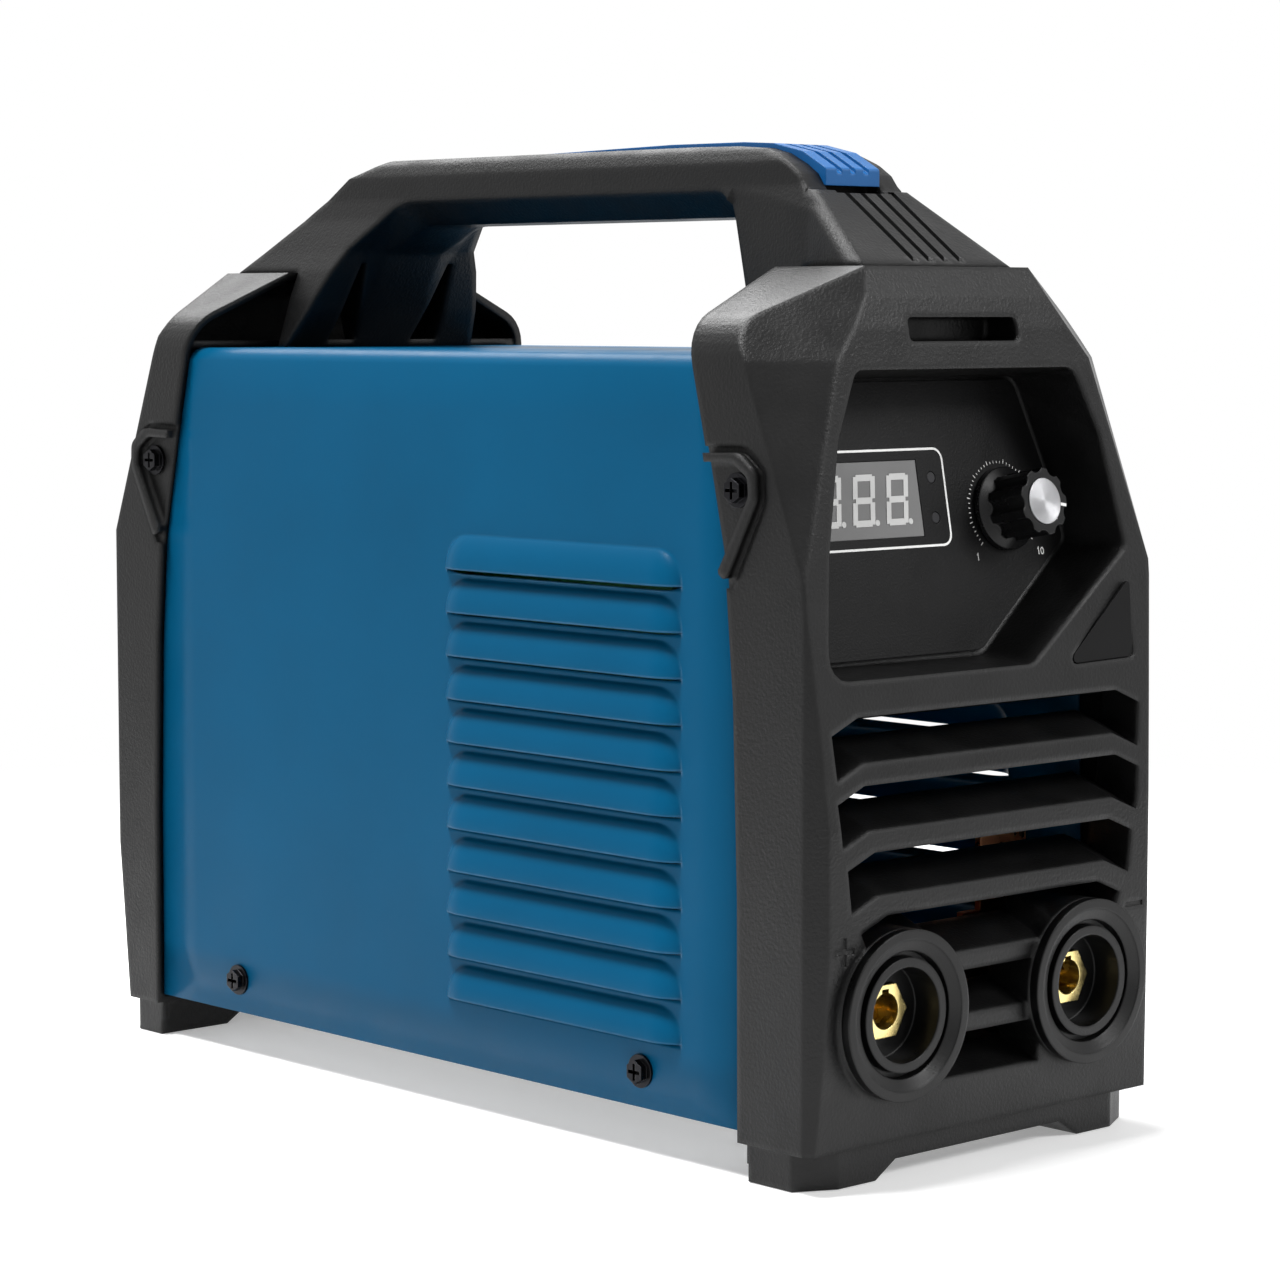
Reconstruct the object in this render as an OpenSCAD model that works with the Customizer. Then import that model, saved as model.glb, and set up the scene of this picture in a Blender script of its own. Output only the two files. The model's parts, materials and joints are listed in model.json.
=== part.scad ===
// Inverter arc welding machine: two plastic end bezels, a louvred steel cover,
// a steel base tray, a carrying handle and the power electronics inside.
// X runs across the machine, Y from the front (-) to the rear (+), Z up.
// The origin lies on the ground under the middle of the machine.

/* [Case] */
// Width over the plastic bezels
bezel_w = 130; // [124:1:140]
// Height of the flat top of the bezels
bezel_top = 228.5; // [226:0.5:234]
// Wall of the plastic mouldings
wall = 2.2; // [1.8:0.1:2.8]
// How far the cover's sides lie inside the bezels' sides
cover_step = 2.4; // [2.2:0.1:4]
// Height of the cover's flat top
cover_top = 206.5; // [204:0.5:207]
// Height of the cover's lower edge
cover_bottom = 12.4; // [11.5:0.5:14]
// Thickness of the cover sheet
sheet = 1; // [0.8:0.1:1.2]
// Outside bend radius along the cover's top edges
cover_bend = 5; // [3:0.5:8]
// How far the cover reaches under each bezel
cover_tuck = 3; // [2:0.5:4]
// Distance from the middle to the furthest point at each end
half_len = 155.5; // [154.5:0.5:160]

/* [Feet] */
// Height of the ground clearance under the bezels
skirt_top = 10; // [8:0.5:11]
// Height of the skirt's lower edge between the feet
skirt_low = 4.5; // [3:0.5:6]
// How far the skirt is set in from the bezel
skirt_inset = 2.5; // [1.5:0.5:4]
// Length of each foot across the machine
foot_w = 24; // [18:1:30]
// Depth of each foot from front to rear
foot_d = 21; // [14:1:24]

/* [Louvres] */
// Number of louvres on each side
louvre_n = 11; // [5:1:12]
// Distance from one louvre to the next
louvre_pitch = 11.7; // [11:0.1:12.4]
// Height of one louvre
louvre_h = 9; // [7:0.5:9.5]
// How far a louvre stands out of the cover
louvre_out = 3.6; // [2.5:0.1:4.5]
// Height of the lowest louvre's open edge
louvre_z = 31; // [29:1:34]
// Front end of the louvres
louvre_front = -102; // [-104:1:-95]
// Rear end of the louvres
louvre_rear = -9; // [-20:1:30]

/* [Grille] */
// Height of the lower edge above the top slot
grille_top = 117.4; // [116:0.1:118.5]
// Distance from one wide bar to the next
bar_pitch = 16.4; // [16:0.1:16.8]
// Height of a wide bar's front edge
bar_h = 5.3; // [4.5:0.1:6]
// Height of the first short bar's top edge between the sockets
low_bar_top = 55.5; // [54.5:0.1:56.5]
// Height of a short bar's front edge
low_bar_h = 4.6; // [4:0.1:5.5]
// Slope of the bars, rising inwards
bar_slope = 22; // [10:1:26]
// Depth of the bars behind the front face
bar_depth = 14; // [10:1:16]
// Half length of the short slots between the sockets
short_slot = 19; // [16:1:22]

/* [Control recess] */
// Lean of the control panel from upright
panel_tilt = 10.5; // [8:0.5:12]
// How far the middle of the control panel lies behind the front end
panel_in = 29.5; // [27.5:0.5:31.5]
// Middle height of the control panel
panel_z = 165; // [163:0.5:167]
// Thickness of the control panel overlay
overlay_t = 1; // [0.6:0.1:1.4]
// Width of the display module
display_w = 37.8; // [34:0.2:38]
// Height of the display module
display_h = 19.8; // [18:0.2:21]
// Height of one digit
digit_h = 13.4; // [12:0.1:14.4]
// Distance from one digit to the next
digit_pitch = 12.3; // [11.6:0.1:12.7]

/* [Current knob] */
// X of the knob's axis
knob_x = 29.6; // [28:0.2:31]
// Radius of the knob's skirt
skirt_r = 11; // [10:0.2:11.6]
// Radius over the knob's lobes
knob_r = 8.8; // [8:0.1:9.4]
// Height of the knob's face above the panel
knob_h = 16; // [14:0.5:18]
// Number of lobes on the knob
lobes = 9; // [6:1:12]
// Radius of the metal cap
cap_r = 6; // [5:0.2:6.6]
// Radius of the potentiometer's shaft
shaft_r = 3; // [2.5:0.1:3.4]

/* [Weld sockets] */
// Distance of each socket from the middle
socket_x = 34.8; // [33:0.2:35.6]
// Height of the sockets
socket_z = 42.5; // [41:0.5:44]
// Radius of the socket flange
flange_r = 21.7; // [20:0.1:22]
// Thickness of the socket flange
flange_t = 2.6; // [2:0.1:3.5]
// Outside radius of the socket's tube
tube_r = 14.5; // [13.5:0.1:15]
// Bore radius of the brass contact
contact_bore_r = 4.6; // [4.5:0.05:5]
// Distance across the flats of the brass contact
contact_af = 13.4; // [13:0.1:15]
// How far the contact lies behind the flange
contact_inset = 8.4; // [6:0.2:10]
// Depth of the contact's bore
contact_depth = 22; // [20:1:26]

/* [Handle] */
// Height of the handle's top behind the grip
handle_top = 261; // [258:0.5:262]
// Thickness of the handle bar from the finger gap to its top
grip_bar = 19; // [17:0.5:22]
// Half width of the handle bar
handle_hw = 17; // [15:0.5:18]
// Half width of the grip insert
grip_hw = 10; // [8:0.5:11]
// How far the grip insert stands above the handle
grip_rise = 1; // [0.5:0.25:3]

/* [Fan] */
// Side length of the fan's frame
fan_size = 92; // [80:1:92]
// Depth of the fan's frame
fan_depth = 25; // [20:1:26]
// Height of the fan's axis
fan_z = 68; // [66:1:70]
// Number of fan blades
blades = 7; // [5:1:9]

/* [Rear panel] */
// How far the rear recess's floor lies inside the rear end
rear_in = 27.5; // [25.5:1:29.5]
// Height of the rocker switch's middle
switch_z = 166; // [160:1:170]
// X of the rocker switch's middle
switch_x = 22; // [18:1:24]
// X of the mains cable gland
gland_x = -22; // [-26:1:-18]
// Bore radius of the cable gland
gland_bore_r = 5; // [4:0.1:6]
// Rock angle of the switch to each side
rocker_angle = 9; // [6:1:12]

/* [Hidden] */

fit = 0.2;                      // gap between parts that slip together
run_fit = 0.05;                 // radial gap of a shaft that turns in its bush
clear = 0.4;                    // gap round parts that move
big = 400;                      // larger than the machine, for cutting blocks

plastic = [0.14, 0.14, 0.145];
steel_blue = [0.06, 0.33, 0.52];
zinc = [0.72, 0.73, 0.74];
dark_steel = [0.12, 0.12, 0.13];
brass = [0.85, 0.66, 0.28];
copper = [0.72, 0.42, 0.22];
board_green = [0.08, 0.32, 0.16];
alloy = [0.7, 0.71, 0.73];

// Y of a point that lies d inside the machine's front or rear end
function at_front(d) = d - half_len;
function at_rear(d) = half_len - d;
function from_front(pts) = [for (p = pts) [at_front(p.x), p.y]];

// Front outline of the bezels, half of it
bezel_hw = bezel_w / 2;
cover_w = bezel_w - 2 * cover_step;
flat_hw = 30.5;                 // half width of the flat top
shoulder_slope = 24;            // slope of the shoulders
shoulder_r = 14;                // round between shoulder and side

// Side profile of the front bezel as [distance behind the front end, z]; the rear mirrors it
seam = from_front([[30.5, skirt_top], [30.8, 71], [32.4, 121], [35, 151], [42.2, 183],
  [48, cover_top + 0.5]]);
hood_edge = at_front(53);       // y of the hood's edge at the flat top
face = from_front([[21, bezel_top], [17.5, bezel_top - 7.5], [15.5, bezel_top - 15.5],
  [14, bezel_top - 25.5], [8.5, 158], [5, 117], [3.3, 90], [3.1, 60], [4, 35], [5.5, skirt_top]]);
bars_back = at_front(3.5) + bar_depth;
facet_turn = 38.5;              // turn of the corner facets towards the sides
crown_tilt = 33.6;              // lean of the upper facets
cheek_tilt = 16.7;              // lean of the lower facets
cheek_point = [bezel_hw, at_front(21.3), bezel_top - 42.1];
corner_point = [bezel_hw, at_front(7.6), 57];
rear_deeper = 3.6;              // how much deeper the rear bezel's corners are cut
corner_lean = 3.8;              // lean of the rear corners below that point

// Screws
m4_shank = 2;
m4_flange = 4.4;
m3_shank = 1.5;
thread_r = m4_shank - 0.25;     // screw core and tapped hole
cover_screw_y = at_rear(68.5);
cover_screw_z = 22;
bezel_screw_y = at_rear(31.5);
bezel_screw_z = 173.2;
ridge_t = 2;                    // height of the lip round a bezel screw
pocket_d = 1;                   // depth of the pocket inside that lip

// Fan
rear_y = at_rear(rear_in);
fan_y1 = rear_y - 3;
fan_y0 = fan_y1 - fan_depth;
hub_r = 16;
fan_bore_r = fan_size / 2 - 2;
pin_r = 1.5;

// Sockets and slots of the front
tube_tail = at_front(31.5);     // y of the rear end of a socket's tube
contact_front = -half_len + contact_inset;
contact_rear = at_front(47.5);
boss_front = -half_len + flange_t;
spigot_r = 18;
spigot_y = boss_front + 4;
slot_half = [bezel_hw - 6.8, bezel_hw - 8, bezel_hw - 11.1, bezel_hw - 15.8];
end_run = 9.5;                  // length of a slot's slanted end
end_drop = 3.8;                 // fall along the slanted end

// Tray
tray_t = 1.2;
tray_z = skirt_top + wall;
tray_len = 2 * at_rear(37.5);
tray_hw = cover_w / 2 - sheet - fit;
tray_flange = 32;
floor_z = tray_z + tray_t;       // top face of the tray

// Output choke: ring core standing on edge, wound all round
choke_R = 20;
choke_core_r = 8.5;
choke_wire = 1.6;
choke_y = contact_rear + 18;
coil_half = choke_core_r + 0.6 + 2 * choke_wire;
choke_x = choke_R + coil_half + 2.1 - tray_hw;
choke_z = floor_z + choke_R + coil_half;

// Transformer
core_c = [10, choke_y + 46];    // x and y of the middle leg
core_w = 74;
core_d = 26;
core_h = 58;
leg_r = 11;
coil_r = 25;
coil_wire = 2;

// Boards and heatsinks; the two heatsinks share the room between transformer and fan
board_x = 25.4 - tray_hw;
board_t = 1.6;
board_y0 = choke_y + 20;
board_y1 = fan_y0 - 12;
board_z0 = floor_z + 8;
board_z1 = 196;
parts_x = board_x + board_t;
sink_x = 8;                     // face that the power parts are bolted to
sink_base = 6;
sink_x1 = tray_hw - 5.4;
output_y0 = core_c.y + coil_r + 2 * coil_wire - 1;
inverter_y1 = fan_y0 - 8;
output_y1 = output_y0 + 0.46 * (inverter_y1 - output_y0);
inverter_y0 = output_y1 + 4;
output_top = 78;
inverter_top = 96;

$fn = 48;

function unit(v) = v / norm(v);
function at(list, i) = list[(i + len(list)) % len(list)];
function corner_arc(before, corner, after, r, n) =
  let (a = unit(before - corner), b = unit(after - corner),
       half = acos(a * b) / 2,
       centre = corner + unit(a + b) * r / sin(half),
       start = corner + a * r / tan(half) - centre,
       end = corner + b * r / tan(half) - centre,
       a0 = atan2(start.y, start.x),
       sweep = (atan2(end.y, end.x) - a0 + 540) % 360 - 180)
  [for (i = [0:n]) centre + r * [cos(a0 + sweep * i / n), sin(a0 + sweep * i / n)]];
// Polygon whose corners are rounded with the radii in rs, a radius of 0 stays sharp
function rounded(pts, rs, n = 5) =
  [for (i = [0:len(pts) - 1]) each rs[i] == 0 ? [pts[i]]
    : corner_arc(at(pts, i - 1), pts[i], at(pts, i + 1), rs[i], n)];
function mirrored(pts) = [for (i = [len(pts) - 1:-1:0]) [-pts[i].x, pts[i].y]];
function shifted(pts, d) = [for (p = pts) [p.x + d, p.y]];
function box2(x0, z0, x1, z1) = [[x0, z0], [x1, z0], [x1, z1], [x0, z1]];

// A [y, z] outline drawn across the machine, centred on x = 0
module across(width) { rotate([90, 0, 90]) linear_extrude(width, center = true) children(); }
// An [x, z] outline drawn from y0 to y1
module along(y0, y1) {
  translate([0, y1, 0]) rotate([90, 0, 0]) linear_extrude(y1 - y0) children();
}
// A cylinder along Y from y0 to y1
module rod(x, z, y0, y1, r) { translate([x, y1, z]) rotate([90, 0, 0]) cylinder(h = y1 - y0, r = r); }
// A cylinder along X from x0 to x1
module peg(y, z, x0, x1, r) { translate([x0, y, z]) rotate([0, 90, 0]) cylinder(h = x1 - x0, r = r); }
module block(low, high) { translate(low) cube(high - low); }
module both_sides() { children(); mirror([1, 0, 0]) children(); }
module both_ends() { children(); mirror([0, 1, 0]) children(); }
// The control panel's own frame: x across, y up the panel, z out towards the user
module on_panel() {
  translate([0, at_front(panel_in), panel_z]) rotate([90 - panel_tilt, 0, 0]) children();
}

// ---------- bezels ----------

function bezel_outline(inset) =
  let (hw = bezel_hw - inset, top = bezel_top - inset,
       flat = flat_hw - 0.21 * inset,
       side_z = top - tan(shoulder_slope) * (hw - flat) )
  rounded([[hw, -20], [hw, side_z], [flat, top], [-flat, top], [-hw, side_z], [-hw, -20]],
    [0, shoulder_r - inset, 0, 0, shoulder_r - inset, 0], 6);

module corner_cut(point, tilt, turn, inset) {
  translate(point) rotate([0, 0, turn]) rotate([-tilt, 0, 0])
    translate([-big / 2, inset - big, -big / 2]) cube(big);
}

// Solid form of the front bezel; inset > 0 gives the hollow inside it, deeper > 0 the rear's form
module bezel_form(inset, deeper = 0) {
  profile = inset == 0
    ? concat(seam, [[hood_edge, bezel_top]], face)
    : concat([[at_front(75.5), skirt_top + wall], [at_front(75.5), bezel_top]],
        shifted([for (i = [0:len(face) - 2]) face[i]], inset),
        [[at_front(5.5) + inset, skirt_top + wall]]);
  difference() {
    intersection() {
      across(bezel_w) polygon(profile);
      along(at_front(-5), at_front(85)) polygon(bezel_outline(inset));
    }
    both_sides() {
      corner_cut([flat_hw, face[0].x + deeper * 0.35, bezel_top], crown_tilt, facet_turn, inset);
      corner_cut(cheek_point + [0, deeper, 0], cheek_tilt, facet_turn, inset);
      corner_cut(corner_point + [0, deeper * 1.1, 0], 0, 45, inset);
      if (deeper > 0) corner_cut(corner_point + [0, deeper * 1.1, 0], -corner_lean, 45, inset);
    }
  }
}

// Lip that stands proud round a bezel screw, the pocket inside it that is open to the cover,
// and the outer edge of the groove round it, as [distance behind the front end, z]
lip = from_front(rounded([[41.4, 182.2], [29, 182.6], [23, 178], [22.7, 171], [33.6, 150.8],
  [35.6, 152.4]], [0, 5, 3.5, 4, 1, 0], 5));
pocket = from_front(rounded([[60, 179.8], [31, 180.2], [25.6, 176.6], [25.2, 171.8], [35.6, 153.6],
  [60, 153.6]], [0, 4, 3, 3, 0, 0], 5));
groove = from_front(rounded([[50, 183.7], [28.6, 184.1], [21.9, 178.8], [21.3, 170.4], [32.6, 148.8],
  [50, 148.8]], [0, 5.5, 4, 4.5, 0, 0], 5));

module screw_lip() {
  across_from(bezel_hw - 1.5, bezel_hw + ridge_t) difference() {
    polygon(lip);
    polygon(pocket);
  }
}
module across_from(x0, x1) {
  translate([x0, 0, 0]) rotate([90, 0, 90]) linear_extrude(x1 - x0) children();
}

// Skirt and feet under one bezel
module skirt(deeper) {
  hw = bezel_hw - skirt_inset;
  front = at_front(5.5) + skirt_inset;
  back = at_front(29.5);
  difference() {
    union() {
      difference() {
        block([-hw, front, skirt_low], [hw, back, skirt_top + 0.5]);
        block([-hw + wall, front + wall, skirt_low - 1], [hw - wall, back + 1, skirt_top + 1]);
      }
      both_sides() intersection() {
        along(front, front + foot_d)
          polygon([[hw, skirt_top], [hw, 0], [hw - foot_w, 0], [hw - foot_w - 8, skirt_low + 0.5],
            [hw - foot_w - 8, skirt_top]]);
        block([0, front, 0], [hw, front + foot_d, skirt_top + 0.5]);
      }
    }
    both_sides() corner_cut([hw, front + 5.6 + deeper, 0], 0, 28 + deeper * 3, 0);
  }
}

// Features that the two bezels share
module bezel_base(deeper = 0) {
  difference() {
    bezel_form(0, deeper);
    bezel_form(wall, deeper);
    both_sides() across_from(bezel_hw - 1, bezel_hw + 3) polygon(groove);
  }
  both_sides() screw_lip();
  skirt(deeper);
  // lip of the hood that lies on the cover
  intersection() {
    bezel_form(0);
    block([-bezel_hw, at_front(43.5), cover_top], [bezel_hw, at_front(47.3), cover_top + 2]);
  }
}

// Clearance holes and pockets for the side screws
module side_screw_holes() {
  both_sides() {
    across_from(bezel_hw - pocket_d, bezel_hw + 3) polygon(pocket);
    peg(-bezel_screw_y, bezel_screw_z, bezel_hw - 8, bezel_hw + 3, m4_shank + fit);
  }
}
// Holes for the handle's screws and the tray's
handle_screw = [14, at_rear(38.5)];
tray_screw = [20, at_rear(21.5)];
module shared_holes() {
  both_sides() {
    translate([handle_screw.x, -handle_screw.y, bezel_top - 10]) cylinder(h = 20, r = m4_shank + fit);
    translate([tray_screw.x, -tray_screw.y, 0]) cylinder(h = 20, r = m4_shank + fit);
  }
  side_screw_holes();
}

// Wide slot: level in the middle, falling towards both ends
function slot_outline(half, top, bottom, taper) =
  let (h = half, l = half - taper)
  [[h - end_run, top], [h, top - end_drop], [l, bottom - end_drop], [l - end_run, bottom],
   [-l + end_run, bottom], [-l, bottom - end_drop], [-h, top - end_drop], [-h + end_run, top]];
bar_top = grille_top - 11.2;    // height of the first bar's top edge
// Slots are [half length, top, bottom, taper]
wide_slots = [for (i = [0:2])
  [slot_half[i], i == 0 ? grille_top : bar_top - bar_h - (i - 1) * bar_pitch,
   bar_top - i * bar_pitch, 1.4]];
short_slots = [for (i = [0:1]) box2(-short_slot, low_bar_top - low_bar_h - i * bar_pitch - 11.8,
  short_slot, low_bar_top - low_bar_h - i * bar_pitch)];
// The slot above the sockets reaches down to the first short bar in its middle
fourth_top = bar_top - 2 * bar_pitch - bar_h;
fourth_slot = [[slot_half[3] - end_run, fourth_top], [slot_half[3], fourth_top - end_drop],
  [slot_half[3] - 2, fourth_top - 8], [22, fourth_top - 8], [19, low_bar_top],
  [-19, low_bar_top], [-22, fourth_top - 8], [-slot_half[3] + 2, fourth_top - 8],
  [-slot_half[3], fourth_top - end_drop], [-slot_half[3] + end_run, fourth_top]];

// Cuts an [x, z] outline, as seen on the face, along a path that rises inwards
module sloped_cut(y, z, pts) {
  translate([0, y, z]) rotate([90 + bar_slope, 0, 0])
    linear_extrude(2 * (bar_depth + 2), center = true)
    polygon([for (p = pts) [p.x, (p.y - z) * cos(bar_slope)]]);
}
module grille_slots() {
  for (s = wide_slots) sloped_cut(at_front(4), s[2], slot_outline(s[0], s[1], s[2], s[3]));
  sloped_cut(at_front(3.2), fourth_top, fourth_slot);
  for (s = short_slots) sloped_cut(at_front(3.7), s[0].y, s);
}

// Window of the control recess on the face and its floor, both in the panel's frame
window = rounded([[24 - bezel_hw, 34.3], [15.8 - bezel_hw, 17], [9.2 - bezel_hw, -12],
  [6 - bezel_hw, -43], [17.5, -43], [bezel_hw - 8.8, -13.6], [bezel_hw - 15.8, 17],
  [bezel_hw - 24, 34.3]], [4, 0, 0, 7, 7, 3, 0, 5], 4);
overlay = rounded([[25 - bezel_hw, 34.6], [17 - bezel_hw, 10.6], [13.2 - bezel_hw, -9],
  [11.5 - bezel_hw, -36.3], [15, -36.3], [bezel_hw - 12.8, -8.6], [bezel_hw - 17, 10.6],
  [bezel_hw - 25, 34.6]], [3, 0, 0, 3, 6, 3, 0, 4], 4);
window_depth = 20;

module recess_cavity(grow) {
  on_panel() hull() {
    translate([0, 0, grow > 0 ? -2.5 : 0]) linear_extrude(0.1) grown(overlay, 1.2 + grow);
    translate([0, 0, window_depth]) linear_extrude(0.1) grown(window, grow);
  }
  on_panel() translate([0, 0, window_depth]) linear_extrude(20) grown(window, grow);
}
// A convex outline pushed out by d along each vertex's direction from the middle
module grown(pts, d) {
  mid = [(max([for (p = pts) p.x]) + min([for (p = pts) p.x])) / 2,
         (max([for (p = pts) p.y]) + min([for (p = pts) p.y])) / 2];
  polygon([for (p = pts) p + unit(p - mid) * d * 1.2]);
}

// Display and digits, in the panel's frame
display_x1 = -1.1;
display_x0 = display_x1 - display_w;
display_s = 4.1;
display_t = 8;
lamp_spots = [[4.1, 9.3], [4, -1.2]];

module panel_holes(play) {
  block([display_x0 - play, display_s - display_h / 2 - play, -20],
    [display_x1 + play, display_s + display_h / 2 + play, 20]);
  translate([knob_x, 0, -20]) cylinder(h = 40, r = neck_r + play);
  for (p = lamp_spots) translate([p.x, p.y, -20]) cylinder(h = 40, r = 1.5 + play / 2);
}

function badge_outline(gap) = rounded([[bezel_hw - 9.6 - gap, 148 - 3 * gap],
  [bezel_hw - 8 - gap, 126 + gap], [bezel_hw - 35.4 + 3 * gap, 125.4 + gap]], [1, 1.5, 1.5], 3);
badge_y = at_front(6.9);

strap_z = bezel_top - 15.85;
strap_slot = rounded(box2(-20.5, strap_z - 3.05, 20.5, strap_z + 3.05), [1.5, 1.5, 1.5, 1.5], 3);

module plus_mark() {
  translate([10 - bezel_hw, at_front(2.6), 60.5]) {
    cube([7, 2, 1.4], center = true);
    cube([1.4, 2, 7], center = true);
  }
}
module minus_mark() { translate([bezel_hw - 10, at_front(2.6), 60.5]) cube([7, 2, 1.4], center = true); }

module socket_boss(x) {
  rod(x, socket_z, boss_front, bars_back, flange_r);
  rod(x, socket_z, bars_back - 1, tube_tail, tube_r + 3.6);
}
module socket_boss_holes(x) {
  rod(x, socket_z, at_front(-14), at_front(55), tube_r + fit);
  rod(x, socket_z, at_front(-14), spigot_y, spigot_r + fit);
  // slot for the key that stops the socket from turning
  block([x - 2.2, spigot_y - 1, socket_z], [x + 2.2, spigot_y + 8.2, socket_z + tube_r + 1.6]);
}

module front_bezel() color(plastic) difference() {
  union() {
    difference() {
      union() {
        bezel_base();
        intersection() {
          bezel_form(0);
          union() {
            recess_cavity(wall);
            along(at_front(-5), bars_back)
              polygon(box2(4.5 - bezel_hw, 19, bezel_hw - 4.5, grille_top + 3));
            along(at_front(-5), at_front(27.5)) polygon(box2(-23, strap_z - 5.3, 23, strap_z + 5.3));
            along(at_front(-5), at_front(13.5)) polygon([[bezel_hw - 3, 152], [bezel_hw - 3, 121],
              [bezel_hw - 41, 121], [bezel_hw - 9, 152]]);
          }
        }
      }
      grille_slots();
    }
    for (s = [-1, 1]) socket_boss(s * socket_x);
    // pillars behind the panel that carry the control board
    on_panel() for (p = board_pillars) translate([p.x, p.y, board_off])
      cylinder(h = -1 - board_off, r = 2.6);
  }
  recess_cavity(0);
  on_panel() panel_holes(fit);
  shared_holes();
  along(at_front(-5), at_front(26.5)) polygon(strap_slot);
  along(at_front(-5), badge_y) polygon(badge_outline(0));
  for (s = [-1, 1]) socket_boss_holes(s * socket_x);
  plus_mark();
  minus_mark();
}

// Rear bezel: the same form turned to the rear, with its own grille and recess
rear_window = rounded(box2(-46, switch_z - 28, 46, switch_z + 28), [6, 6, 6, 6], 5);
rear_slots = [for (i = [0:5]) box2(-46, 26 + i * 15, 46, 26 + i * 15 + 9.5)];
switch_w = 22;                  // width of the switch cut-out
switch_hh = 15;                 // half height of the switch cut-out
gland_thread_r = 10;
rear_wall = 2.4;                // thickness of the rear recess's floor
fan_hole = fan_size / 2 - 4.5;

module rear_bezel() color(plastic) difference() {
  union() {
    mirror([0, 1, 0]) difference() {
      union() {
        bezel_base(rear_deeper);
        intersection() {
          bezel_form(0, rear_deeper);
          union() {
            along(at_front(-5), -rear_y + rear_wall) polygon(rounded(
              box2(-48.4, switch_z - 30.4, 48.4, switch_z + 30.4), [8, 8, 8, 8], 5));
            along(at_front(-5), bars_back) polygon(box2(13 - bezel_hw, 19, bezel_hw - 13, 120));
          }
        }
      }
      for (s = rear_slots) sloped_cut(at_front(4), s[0].y, s);
    }
    // posts that carry the fan
    for (sx = [-1, 1], sz = [-1, 1])
      rod(sx * fan_hole, fan_z + sz * fan_hole, fan_y1, at_rear(10.5), 4);
  }
  along(rear_y, at_rear(-14)) polygon(rear_window);
  mirror([0, 1, 0]) shared_holes();
  for (sx = [-1, 1], sz = [-1, 1]) rod(sx * fan_hole, fan_z + sz * fan_hole, fan_y1 - 1,
    at_rear(17.5), m3_shank);
  block([switch_x - switch_w / 2, rear_y - 18, switch_z - switch_hh],
    [switch_x + switch_w / 2, rear_y + 12, switch_z + switch_hh]);
  rod(gland_x, switch_z, rear_y - 18, rear_y + 12, gland_thread_r + fit);
}

// ---------- sheet metal ----------

function cover_outline(inset) =
  let (hw = cover_w / 2 - inset, top = cover_top - inset)
  rounded([[hw, -5], [hw, top], [-hw, top], [-hw, -5]],
    [0, cover_bend - inset, cover_bend - inset, 0], 5);
cover_end = shifted([seam[0], seam[1], seam[2], seam[3], seam[4], [at_front(50.5), cover_top + 12]],
  -cover_tuck);

// Louvre pressed out of the side, its mouth open downwards at z = 0
module louvre(out, h, y0, y1, back, n = 4) {
  curve = [for (i = [0:n]) [out * sin(90 * i / n), 1 - cos(90 * i / n)]];
  intersection() {
    along(y0, y1) polygon(concat([[-back, 0], [-back, h], [0, h]],
      [for (p = curve) [p.x, h - h * 0.75 * p.y]], [[out, 0]]));
    linear_extrude(h) polygon(concat([[-back, y1], [-back, y0], [0, y0]],
      [for (p = curve) [p.x, y0 + h * 0.7 * p.y]],
      [for (i = [n:-1:0]) [curve[i].x, y1 - h * 0.7 * curve[i].y]], [[0, y1]]));
  }
}

module louvres(inset) {
  both_sides() for (i = [0:louvre_n - 1])
    translate([cover_w / 2, 0, louvre_z + i * louvre_pitch])
      translate([-inset, 0, -inset / 100]) louvre(louvre_out, louvre_h - inset,
        louvre_front + inset, louvre_rear - inset, sheet + inset);
}

module cover() color(steel_blue) difference() {
  union() {
    intersection() {
      difference() {
        along(-half_len, half_len) polygon(cover_outline(0));
        along(-half_len - 1, half_len + 1) polygon(cover_outline(sheet));
      }
      across(big) polygon(concat(
        [[cover_end[0].x, cover_bottom]], [for (i = [1:5]) cover_end[i]],
        [for (i = [5:-1:1]) [-cover_end[i].x, cover_end[i].y]],
        [[-cover_end[0].x, cover_bottom]]));
    }
    louvres(0);
    // tabs that take the bezels' side screws
    both_sides() both_ends() block([cover_w / 2 - sheet, at_rear(43.5), bezel_screw_z - 7],
      [cover_w / 2, at_rear(25.5), bezel_screw_z + 7]);
  }
  louvres(sheet);
  both_sides() both_ends() {
    peg(cover_screw_y, cover_screw_z, cover_w / 2 - 12, cover_w / 2 + 8, m4_shank + fit);
    peg(bezel_screw_y, bezel_screw_z, cover_w / 2 - 12, cover_w / 2 + 8, thread_r);
  }
}

module base_tray() color(zinc) difference() {
  union() {
    block([-tray_hw, -tray_len / 2, tray_z], [tray_hw, tray_len / 2, tray_z + tray_t]);
    both_sides() block([tray_hw - tray_t, at_front(43.5), tray_z], [tray_hw, at_rear(43.5), tray_flange]);
    both_ends() block([3.4 - tray_hw, at_front(11.5), tray_z],
      [tray_hw - 3.4, 1 - tray_len / 2, tray_z + tray_t]);
  }
  both_sides() both_ends() {
    peg(cover_screw_y, cover_screw_z, tray_hw - 10, tray_hw + 8, thread_r);
    translate([tray_screw.x, -tray_screw.y, 0]) cylinder(h = 30, r = thread_r);
  }
}

// ---------- handle ----------

grip_low = handle_top - grip_bar;
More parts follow.
